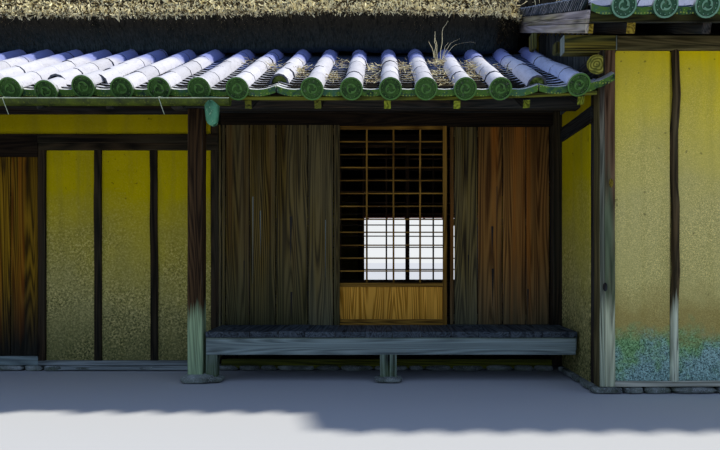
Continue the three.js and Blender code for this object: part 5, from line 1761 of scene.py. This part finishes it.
def lay_gable_boards():
    """Dark upright boards over the return wall, between the porch roof and the wing's roof."""
    pile = Pile(36)
    start, end, width = WING_FACE + 0.15, 0.96, 0.15
    for step in range(int((end - start) / width)):
        y = start + step * width
        under = WING_AXIS - 0.17 + WING_PITCH * (y - WING_EAVE_Y)
        lay_bar(pile, (2.979, 2.993), (y + 0.001, y + width - 0.001), (2.2, under), "z", rings=2, wane=0.001)
    pile.piece("wing_gable_boards", ["soffit wood"], "dark_timber")


def wing_loft_shape():
    """The small wall of the wing's loft, with its edges softened."""
    bm = new_copy("wing_loft_wall")
    bmesh.ops.bevel(
        bm, geom=bm.edges[:], offset=0.003, segments=1, affect="EDGES", profile=0.5, material=-1,
    )
    return Shape(bm)


def lay_entrance():
    """Threshold and the two board doors at the left."""
    pile = Pile(41)
    lay_node_bar(pile, "entrance_threshold", SILL_WEAR, rings=5, wane=0.0008, part=1)
    pile.piece("entrance_threshold_wood", ["front timber", "weathered wood"], "dark_timber",
               replaced=("entrance_threshold",))
    for name in ("entrance_door_left", "entrance_door_right"):
        door = Pile(name)
        looks = ((0, 0.75), (0, 0.5), (0, 0.9), (0, 0.35))
        lay_board_door(door, plan_box(name), (0.24, 0.48, 0.72), looks)
        door.piece(f"{name}_boards", ["entrance boards"], "door_boards", body=name, replaced=(name,))


def lay_board_door(pile, box, seams, looks):
    """A sliding door of upright boards on battens at the back. Seams count from its left edge."""
    low, high = box
    places = [low.x, *[low.x + seam for seam in seams], high.x]
    boards = (low.y, low.y + 0.016)
    lay_seamed_boards(pile, places, boards, (low.z, high.z), looks, 0.008, rings=5, wane=0.0008)
    for z in (low.z + 0.03, (low.z + high.z) / 2, high.z - 0.09):
        lay_bar(pile, (low.x + 0.002, high.x - 0.002), (low.y + 0.0165, high.y), (z, z + 0.06), "x")


# The porch's board doors: finishes, seams from the left edge, each board's finish and tint, and the long
# shakes and pale streaks, as x, lowest and highest place, width and finish
PORCH_BOARD_DOORS = {
    "board_door_left": (
        ["grey brown boards", "olive boards", "dark timber", "weathered wood"],
        (0.036, 0.24, 0.468, 0.744, 0.965),
        ((0, 0.5), (0, 0.3), (0, 0.7), (0, 0.45), (1, 0.3), (0, 0.0)),
        ((0.66, 0.93, 1.33, 0.016, 2), (0.26, 0.6, 0.95, 0.01, 2), (0.665, 0.45, 0.68, 0.012, 2),
         (0.335, 0.75, 1.5, 0.006, 3), (0.4, 0.98, 1.38, 0.005, 3), (0.96, 0.8, 1.3, 0.005, 3)),
    ),
    "board_door_right": (
        ["olive boards", "red brown boards", "dark timber"],
        (0.04, 0.246, 0.462, 0.669),
        ((1, 0.0), (0, 0.75), (1, 0.4), (1, 0.8), (1, 0.3)),
        ((2.408, 1.0, 1.25, 0.013, 2), (2.412, 0.55, 0.88, 0.014, 2), (2.45, 0.9, 1.6, 0.005, 2),
         (2.72, 0.45, 0.7, 0.01, 2), (2.2, 0.6, 1.0, 0.008, 2)),
    ),
}


def lay_porch_doors():
    """The porch's two board doors, its lattice door and the lattice doors behind them."""
    for name, (finishes, seams, looks, shakes) in PORCH_BOARD_DOORS.items():
        door = Pile(name)
        lay_board_door(door, plan_box(name), seams, looks)
        for x, bottom, top, width, part in shakes:
            low = plan_box(name)[0].y + 0.0002
            rows = (0, width, 0, x), (0, 0, -0.0013, low), (bottom - top, 0, 0, top), (0, 0, 0, 1)
            door.lay(straw_shape(tip=0.1), Matrix(rows), part=part)
        door.piece(f"{name}_boards", finishes, "door_boards", body=name, replaced=(name,))
    for name in ("lattice_door", "inner_lattice_left", "inner_lattice_right"):
        door = Pile(name)
        lay_lattice_door(door, plan_box(name))
        finishes = ["golden lattice wood", "golden panel wood"]
        if name != "lattice_door":
            finishes = ["inner lattice wood", "inner lattice wood"]
        door.piece(f"{name}_wood", finishes, "lattice_wood", body=name, replaced=(name,))


def lay_lattice_door(pile, box):
    """A lattice door: thin bars over a low panel of boards, all in one frame."""
    low, high = box
    y = (low.y, high.y)
    middle = (low.y + high.y) / 2
    stile, panel_top, rail_top, head = 0.036, 0.722, 0.757, 2.088
    for x in ((low.x, low.x + stile), (high.x - stile, high.x)):
        lay_bar(pile, x, y, (low.z, high.z), "z", chamfer=0.002)
    inner = (low.x + stile, high.x - stile)
    for z in ((head, high.z), (panel_top, rail_top), (low.z, low.z + 0.05)):
        lay_bar(pile, inner, y, z, "x", chamfer=0.002)
    lay_boards(pile, inner, around(middle, 0.01), (low.z + 0.05, panel_top), 0.21, gap=0.001, part=1)
    for offset in (0.284, 0.516, 0.747):
        x = around(low.x + offset, 0.016)
        lay_bar(pile, x, around(middle, 0.014), (rail_top, head), "z", chamfer=0.0015)
    top_row, pitch = 1.983, 0.1124
    for row in range(11):
        z = around(top_row - row * pitch, 0.011)
        lay_bar(pile, inner, around(middle, 0.0125), z, "x", chamfer=0.0015)


def lay_porch():
    """Porch floor, its frame and legs, the free post with its stone and the eave beam."""
    low, high = plan_box("porch_floor")
    floor = Pile(51)
    inner = (0.22, 0.42, 0.646, 0.85, 1.085, 1.32, 1.53, 1.76, 1.99, 2.2, 2.44, 2.7)
    seams = (low.x + 0.013, *inner, high.x - 0.018)
    for left, right in zip(seams, seams[1:]):
        y = (low.y + floor.rng.uniform(0, 0.012), high.y)
        z = (low.z, high.z + 0.0085 - floor.rng.uniform(0, 0.003))
        lay_bar(floor, (left + 0.001, right - 0.001), y, z, "y", rings=3, wane=0.002, chamfer=0.004)
    floor.piece("porch_floor_boards", ["porch floor wood"], "weathered_timber", replaced=("porch_floor",))

    under = Pile(52)
    low, high = plan_box("porch_floor_frame")
    fascia = (low.x + 0.018, high.x - 0.033)
    lay_bar(under, fascia, (low.y, low.y + 0.035), (0.218, high.z), rings=12, wane=0.002, chamfer=0.004)
    lay_bar(under, fascia, (low.y - 0.002, low.y + 0.01), (high.z - 0.006, high.z), "x", part=1)
    lay_bar(under, (low.x, high.x), (high.y - 0.06, high.y), (high.z - 0.09, high.z), rings=6, wane=0.003)
    for x in ((0.079, 0.166), (1.434, 1.564)):
        lay_bar(under, x, (low.y + 0.004, low.y + 0.094), (0.035, 0.238), "z", rings=3, wane=0.004, part=1)
        stone = stone_shape((x[1] - x[0] + 0.09, 0.19, 0.05), x[0] * 7, detail=3)
        under.lay(stone, Matrix.Translation((sum(x) / 2, low.y + 0.05, 0.024)), part=2)
    joist = ((low.y + 0.036, high.y), (high.z - 0.1, high.z))
    for middle in (0.11, 1.5, 2.94):
        lay_bar(under, around(middle, 0.07), *joist, rings=2, wane=0.002)
    under.piece("porch_floor_timbers", ["weathered wood", "leg wood", "field stone"], "weathered_timber",
                replaced=("porch_floor_frame",))

    post = Pile(53)
    low, high = plan_box("porch_post")
    lay_bar(post, (low.x, high.x), (low.y, high.y), (0.045, high.z), rings=14, wane=0.004, chamfer=0.008)
    foot = stone_shape((0.27, 0.25, 0.07), 4.0, detail=3)
    post.lay(foot, Matrix.Translation(((low.x + high.x) / 2 + 0.02, (low.y + high.y) / 2, 0.034)), part=1)
    post.piece("porch_post_wood", ["porch post wood", "field stone"], "weathered_timber",
               replaced=("porch_post",))

    head = Pile(54)
    lay_node_bar(head, "porch_eave_beam", rings=8, wane=0.004, chamfer=0.008)
    head.piece("porch_eave_beam_wood", ["dark timber"], "dark_timber", replaced=("porch_eave_beam",))

    row = Pile(55)
    lay_node_bar(row, "porch_threshold", SILL_WEAR, rings=5, wane=0.001)
    lay_bar(row, (0.0635, 2.9125), (0.012, 0.095), (0.02, 0.1), rings=5, wane=0.003, part=1)
    row.piece("porch_threshold_wood", ["weathered wood", "eave wood"], "door_boards",
              replaced=("porch_threshold",))

    jamb = Pile(56)
    lay_node_bar(jamb, "porch_right_post", rings=8, wane=0.003, chamfer=0.006)
    jamb.piece("porch_right_post_wood", ["front timber"], "dark_timber", replaced=("porch_right_post",))


def lay_room_floor():
    """The boards of the raised floor, laid from front to back."""
    pile = Pile(61)
    low, high = plan_box("room_floor")
    near, z = 0.1343, (high.z - 0.03, high.z)
    x = low.x
    while x < high.x - 0.02:
        width = min(0.24, high.x - x)
        for start, end in ((near, 3.4), (3.4, 7.1), (7.1, high.y)):
            front = low.y if start == near and x > RETURN_FACE + 0.1 else start
            lay_bar(pile, (x + 0.001, x + width - 0.001), (front + 0.001, end - 0.001), z, "y")
        x += width
    pile.piece("room_floor_boards", ["floor boards"], "door_boards", replaced=("room_floor",))


def lay_stones():
    """The rough stones under every sill, with smaller ones wedged in between."""
    pile = Pile(67)
    rng = pile.rng
    kinds = [stone_shape((1, 1, 1), seed * 3.7) for seed in range(6)]
    left, right, back = HOUSE_LEFT - 0.01, HOUSE_RIGHT + 0.01, HOUSE_DEPTH + 0.01
    runs = (
        (facing("front", 0), (left, 2.93)),
        (facing("front", WING_FACE), (2.95, right)),
        (facing("left", RETURN_FACE), (WING_FACE + 0.1, 0)),
        (facing("left", HOUSE_LEFT), (0.1, back)),
        (facing("back", HOUSE_DEPTH), (left, right)),
        (facing("right", HOUSE_RIGHT), (WING_FACE, back)),
    )
    for side, (start, end) in runs:
        u = start
        while u < end - 0.03:
            length = min(rng.uniform(0.13, 0.34), end - u)
            x, y, z = side((u, u + length * 0.98), (-0.01 - rng.uniform(0, 0.012), 0.12), (0, STONE_TOP))
            size = (x[1] - x[0], y[1] - y[0], z[1] - z[0])
            middle = Matrix.Translation((sum(x) / 2, sum(y) / 2, sum(z) / 2))
            pile.lay(rng.choice(kinds), middle @ Matrix.Diagonal((*size, 1)))
            u += length
    pile.piece("sill_stones", ["field stone"], "foundation_stone", replaced=("foundation_stones",), sharp=35)


HANGER_START, HANGER_SPACING, HANGER_COUNT = -0.077, 1.07, 7


def lay_gutter():
    """The half-round gutter with a rolled front lip, its wire hangers and the copper spout."""
    low, high = plan_box("gutter")
    radius, rim = 0.043, high.z
    middle = (low.y + high.y) / 2
    front, length = middle - radius, high.x - low.x
    deeper = Matrix.Diagonal((1, 1, 1.2, 1))
    pile = Pile(73)
    bm = new_half_tube(radius - 0.002, 24, -1)
    bmesh.ops.rotate(bm, verts=bm.verts, matrix=Matrix.Rotation(math.pi / 2, 3, "Z"))
    pull_out(bm, bmesh.ops.extrude_edge_only(bm, edges=bm.edges[:]), (length, 0, 0))
    bmesh.ops.solidify(bm, geom=bm.faces[:], thickness=0.003)
    bmesh.ops.recalc_face_normals(bm, faces=bm.faces)
    pile.lay(Shape(bm), Matrix.Translation((low.x, middle, rim)) @ deeper)
    lip = log_shape(length, 0.0035, 0, 0.0, 0.0)
    pile.lay(lip, Matrix.Translation((low.x + length / 2, front + 0.002, rim - 0.003)), part=1)
    for x in (low.x + 0.002, high.x - 0.002):
        pile.lay(end_cap_shape(radius), Matrix.Translation((x, middle, rim)) @ deeper)
    for step in range(HANGER_COUNT):
        x = HANGER_START - HANGER_SPACING * step
        strap = (x - 0.004, front, rim + 0.002), (x, middle + radius + 0.01, rim + 0.03)
        bend = (x + 0.012, front - 0.002, rim - 0.05)
        upper = (x - 0.006, front - 0.001, rim), bend
        lower = bend, (x + 0.032, front + 0.01, rim - 0.115)
        for start, end in (strap, upper, lower):
            start, end = Vector(start), Vector(end)
            wire = log_shape((end - start).length, 0.0026, 2, 0.003, step * 1.7, segments=6)
            turn = (end - start).to_track_quat("X", "Z").to_matrix().to_4x4()
            pile.lay(wire, Matrix.Translation((start + end) / 2) @ turn, part=1)
    pile.piece("eave_gutter", ["gutter paint", "hanger wire"], "gutter_metal", replaced=("gutter",))

    spout = Pile(74)
    low, high = plan_box("gutter_spout")
    spout.lay(spout_shape(low, high), Matrix())
    spout.piece("gutter_spout_copper", ["spout copper"], "spout_copper", replaced=("gutter_spout",), sharp=55)


def end_cap_shape(radius):
    """The half disc that closes an end of the gutter."""
    bm = new_rod(0.003, radius - 0.001, radius - 0.001, 24)
    trim(bm, (0, 0, 0), Z)
    return Shape(bm)


def spout_shape(low, high):
    """A tapered scoop of beaten copper with a slanted, rolled foot."""
    bm = bmesh.new()
    bmesh.ops.create_cone(bm, cap_ends=False, segments=18, radius1=1, radius2=1, depth=1)
    for ring in range(6):
        cut_through(bm, (0, 0, (ring + 1) / 7 - 0.5), Z)
    centre = (low + high) / 2
    half = (high - low) / 2
    for point in bm.verts:
        share = point.co.z + 0.5
        wide = 0.64 + 0.32 * share ** 0.6 + 0.04 * noise.noise(point.co * 2.3)
        slant = (1 - share) ** 4 * 0.02 * point.co.x ** 2
        point.co = Vector((
            centre.x + 0.006 * (1 - share) + point.co.x * half.x * wide,
            centre.y + point.co.y * half.y * wide,
            low.z + share * (high.z + 0.05 - low.z) + slant,
        ))
    thicken(bm, 0.003)
    worn = bm.faces.layers.int.new("worn")
    for face in bm.faces:
        face[worn] = 1 if face.normal.z < -0.4 else 0
    return Shape(bm)


def dress_frame_nodes():
    """Gives the CAD solids that stay in view their finish."""
    finishes = {
        "ochre plaster": (
            "front_left_wall", "front_middle_wall", "entrance_head_wall", "back_left_wall", "back_right_wall",
        ),
        "sheltered plaster": ("return_wall",),
        "lichened plaster": ("wing_front_wall", "left_wall", "right_wall"),
        "inner timber": (
            "entrance_lintel", "porch_lintel", "core_frame", "inner_frame",
            *[f"floor_beam_{number}" for number in range(1, 5)],
        ),
    }
    for finish, nodes in finishes.items():
        for node in nodes:
            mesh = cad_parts[node].data
            mesh.materials.clear()
            mesh.materials.append(bpy.data.materials[finish])


# Stage


def aim(thing, place, target):
    thing.location = place
    thing.rotation_euler = (Vector(target) - Vector(place)).to_track_quat("-Z", "Y").to_euler()


PICTURE_WIDTH = 720
PICTURE_SHIFT = (-25, 35)           # how many pixels the middle of the view lies off the lens's axis


def set_stage(light):
    """A pale floor and backdrop, a soft key light, a pale sky and the camera."""
    bm = bmesh.new()
    bmesh.ops.create_grid(bm, x_segments=1, y_segments=1, size=200)
    mesh = bpy.data.meshes.new("floor")
    bm.to_mesh(mesh)
    bm.free()
    add_object("floor", mesh)
    w, shader = new_finish("pale floor", 0.9, 0.0)
    w.join(shader, {"Base Color": (0.5, 0.5, 0.49)})
    mesh.materials.append(bpy.data.materials["pale floor"])

    world = bpy.data.worlds.new("studio")
    world.use_nodes = True
    w = Wiring(world.node_tree)
    seen = w.put("LightPath").outputs["Is Camera Ray"]
    surroundings = w.put("Background", {"Color": w.mix(seen, (0.44, 0.6, 1.0), (0.9, 0.93, 0.95))})
    w.join(surroundings, {"Strength": w.span(seen, 0, 1, light.sky, 0.95)})
    w.join(world.node_tree.nodes["World Output"], {"Surface": surroundings.outputs["Background"]})
    bpy.context.scene.world = world

    sun = bpy.data.lights.new("key", "SUN")
    sun.energy = light.key
    sun.angle = math.radians(3)
    sun.color = (1.0, 0.97, 0.9)
    aim(add_object("key", sun), (9, 3, 14), (0, 0, 0))

    lens = bpy.data.cameras.new("camera")
    lens.lens = 33.5
    lens.sensor_width = 36
    lens.shift_x, lens.shift_y = (pixels / PICTURE_WIDTH for pixels in PICTURE_SHIFT)
    lens.clip_end = 600
    camera = add_object("camera", lens)
    camera.location = (2.4155, -11.038, 0.955)
    camera.rotation_euler = (math.pi / 2, 0, 0)
    bpy.context.scene.camera = camera
    bpy.context.scene.view_settings.view_transform = "Standard"


# Properties, operators and panel


class FarmhouseSizes(bpy.types.PropertyGroup):
    """Sizes of the tiles."""

    row_pitch: FloatProperty(
        name="Row pitch", description="Distance between rows of cover tiles", default=0.265, unit="LENGTH")
    cover_width: FloatProperty(
        name="Cover width", description="Width of a cover tile", default=0.157, unit="LENGTH")
    cover_length: FloatProperty(
        name="Cover length", description="Length of a cover tile that shows", default=0.3, unit="LENGTH")
    pan_step: FloatProperty(
        name="Pan step", description="How much of each pan tile shows", default=0.1, unit="LENGTH")
    pan_thickness: FloatProperty(
        name="Pan thickness", description="Thickness of a pan tile", default=0.016, unit="LENGTH")
    straw_count: IntProperty(
        name="Straws", description="Straws laid along the front eave", default=15000)


class FarmhouseColours(bpy.types.PropertyGroup):
    """Colours of the main finishes."""

    plaster: FloatVectorProperty(
        name="Plaster", description="Ochre of the earth walls", subtype="COLOR", default=linear("9c9102"))
    plaster_pale: FloatVectorProperty(
        name="Pale plaster", description="Paler clouds in the earth walls", subtype="COLOR",
        default=linear("b0a205"))
    plaster_low: FloatVectorProperty(
        name="Low plaster", description="Sandy grey of the walls' lower part", subtype="COLOR",
        default=linear("8d8b62"))
    thatch: FloatVectorProperty(
        name="Thatch", description="Weathered reed", subtype="COLOR", default=linear("8f8368"))
    straw: FloatVectorProperty(
        name="Straw", description="Bleached straw", subtype="COLOR", default=linear("fff2bd"))


class FarmhouseLight(bpy.types.PropertyGroup):
    """Strength of the studio light."""

    key: FloatProperty(name="Key", description="Strength of the key light", default=4.4)
    sky: FloatProperty(name="Sky", description="Strength of the pale surroundings", default=0.64)


class FARMHOUSE_OT_finishes(bpy.types.Operator):
    """Make the finishes and put them on the solids that stay in view"""

    bl_idname = "farmhouse.finishes"
    bl_label = "Finishes"

    def execute(self, context):
        make_finishes(context.scene.farmhouse_colours)
        dress_frame_nodes()
        return {"FINISHED"}


class FARMHOUSE_OT_tiled_roofs(bpy.types.Operator):
    """Lay the pent roofs and the wing roof: tiles, end tiles, pans and decks"""

    bl_idname = "farmhouse.tiled_roofs"
    bl_label = "Tiled roofs"

    def execute(self, context):
        sizes = context.scene.farmhouse_sizes
        for name, sections in roof_sides().items():
            lay_tiled_roof(name, sections, sizes)
            wing = name == "wing_roof"
            lay_roof_deck(name, sections, 0.103 if wing else 0.087, 0.062 if wing else 0.028)
        for part in ("cover_tiles", "end_tiles", "pans", "deck"):
            lift_corner(f"pent_roof_front_{part}")
        lay_hips()
        return {"FINISHED"}


class FARMHOUSE_OT_rafters(bpy.types.Operator):
    """Lay the rafters under every tiled roof, with the wing's verge boards"""

    bl_idname = "farmhouse.rafters"
    bl_label = "Rafters"

    def execute(self, context):
        finishes = ["dark timber", "eave wood"]
        for name, sections in roof_sides().items():
            if name == "wing_roof":
                places = [3.07 + step * QUARTER for step in range(7)]
                spots = [place - WING_ROOF[0] for place in places]
                lay_rafters("wing_roof", sections, QUARTER, (0.058, 0.07), 0.105,
                            ["dark timber", "golden end wood"], ("wing_rafters",), spots, (0, 0.3))
            elif name == "pent_roof_front":
                places = [2.86, *[2.475 - step * QUARTER for step in range(22)]]
                spots = [place - EAVE_LEFT for place in places]
                lay_rafters(name, sections, QUARTER, (0.05, 0.06), 0.088, [*finishes, "green end wood"],
                            ("front_rafters",), spots, (0.2 - EAVE_LEFT, 20), 1.2 - EAVE_LEFT)
                lift_corner("pent_roof_front_rafters")
            else:
                lay_rafters(name, sections, QUARTER, (0.05, 0.06), 0.088, finishes)
        lay_verge_boards()
        return {"FINISHED"}


class FARMHOUSE_OT_ridge(bpy.types.Operator):
    """Lay the tiled ridge on the thatch"""

    bl_idname = "farmhouse.ridge"
    bl_label = "Ridge"

    def execute(self, context):
        lay_main_ridge()
        return {"FINISHED"}


class FARMHOUSE_OT_thatch(bpy.types.Operator):
    """Roughen the thatch slopes and scatter straw on them"""

    bl_idname = "farmhouse.thatch"
    bl_label = "Thatch"

    def execute(self, context):
        for side, reeds_along in (("front", 1), ("back", 1), ("left", 0), ("right", 0)):
            lay_thatch(f"thatch_{side}", reeds_along)
        sides = thatch_sides()
        count = context.scene.farmhouse_sizes.straw_count
        clear = 2.75 - HOUSE_LEFT - EDGE_INSET
        bits = {"length": (0.025, 0.075), "thick": (0.0045, 0.0095), "edge_share": 0.26, "tangle": 1.2,
                "droop": 0.2, "dark_share": 0.42, "broken": True, "rise": 0.7}
        lay_straw("front_eave_straw", sides["front"], count, 0.75, 5, limits=(5.0, clear), fade=1.2,
                  move=settled, **bits)
        lay_cut_ends(sides["front"], "front_cut_reeds", 9000, 15, limits=(5.0, clear))
        bits["length"] = (0.05, 0.14)
        for seed, (name, side) in enumerate(sides.items()):
            low = 0.75 if name == "right" else 0.0
            high = 5.0 if name == "front" else side.length
            move = settled if name == "front" else None
            lay_straw(f"{name}_straw", side, 8000, 6.5, seed + 20, limits=(low, side.length), move=move)
            lay_straw(f"{name}_eave_bits", side, 3000, 0.9, seed + 30, limits=(low, high), move=move, **bits)
            if name != "front":
                lay_cut_ends(side, f"{name}_cut_reeds", 3000, seed + 40, limits=(low + 0.05, high - 0.05))
        lay_debris(roof_sides()["pent_roof_front"][0])
        return {"FINISHED"}


class FARMHOUSE_OT_walls(bpy.types.Operator):
    """Stand the wall timbers, the wing's posts and the stones under the sills"""

    bl_idname = "farmhouse.walls"
    bl_label = "Walls"

    def execute(self, context):
        lay_front_timbers()
        lay_far_timbers()
        lay_wing_front()
        lay_gable_boards()
        lay_wing_post()
        lay_wing_log()
        lay_return_timbers()
        lay_stones()
        return {"FINISHED"}


class FARMHOUSE_OT_doors(bpy.types.Operator):
    """Make the sliding doors of boards and lattice"""

    bl_idname = "farmhouse.doors"
    bl_label = "Doors"

    def execute(self, context):
        lay_entrance()
        lay_porch_doors()
        return {"FINISHED"}


class FARMHOUSE_OT_porch(bpy.types.Operator):
    """Lay the porch and the raised floor"""

    bl_idname = "farmhouse.porch"
    bl_label = "Porch and floor"

    def execute(self, context):
        lay_porch()
        lay_room_floor()
        return {"FINISHED"}


class FARMHOUSE_OT_gutter(bpy.types.Operator):
    """Hang the gutter and its spout"""

    bl_idname = "farmhouse.gutter"
    bl_label = "Gutter"

    def execute(self, context):
        lay_gutter()
        return {"FINISHED"}


class FARMHOUSE_OT_stage(bpy.types.Operator):
    """Set the floor, the lights and the camera"""

    bl_idname = "farmhouse.stage"
    bl_label = "Stage"

    def execute(self, context):
        set_stage(context.scene.farmhouse_light)
        return {"FINISHED"}


STEPS = (
    FARMHOUSE_OT_finishes,
    FARMHOUSE_OT_tiled_roofs,
    FARMHOUSE_OT_rafters,
    FARMHOUSE_OT_ridge,
    FARMHOUSE_OT_thatch,
    FARMHOUSE_OT_walls,
    FARMHOUSE_OT_doors,
    FARMHOUSE_OT_porch,
    FARMHOUSE_OT_gutter,
    FARMHOUSE_OT_stage,
)


class FARMHOUSE_PT_panel(bpy.types.Panel):
    """Lists the steps that make the farmhouse"""

    bl_label = "Farmhouse"
    bl_space_type = "VIEW_3D"
    bl_region_type = "UI"
    bl_category = "Farmhouse"

    def draw(self, context):
        for step in STEPS:
            self.layout.operator(step.bl_idname)


CLASSES = (FarmhouseSizes, FarmhouseColours, FarmhouseLight, *STEPS, FARMHOUSE_PT_panel)


def register():
    for each in CLASSES:
        bpy.utils.register_class(each)
    bpy.types.Scene.farmhouse_sizes = PointerProperty(type=FarmhouseSizes)
    bpy.types.Scene.farmhouse_colours = PointerProperty(type=FarmhouseColours)
    bpy.types.Scene.farmhouse_light = PointerProperty(type=FarmhouseLight)


def unregister():
    del bpy.types.Scene.farmhouse_light
    del bpy.types.Scene.farmhouse_colours
    del bpy.types.Scene.farmhouse_sizes
    for each in reversed(CLASSES):
        bpy.utils.unregister_class(each)


def main():
    noise.seed_set(NOISE_SEED)
    register()
    for step in STEPS:
        group, name = step.bl_idname.split(".")
        getattr(getattr(bpy.ops, group), name)()


if __name__ == "__main__":
    main()
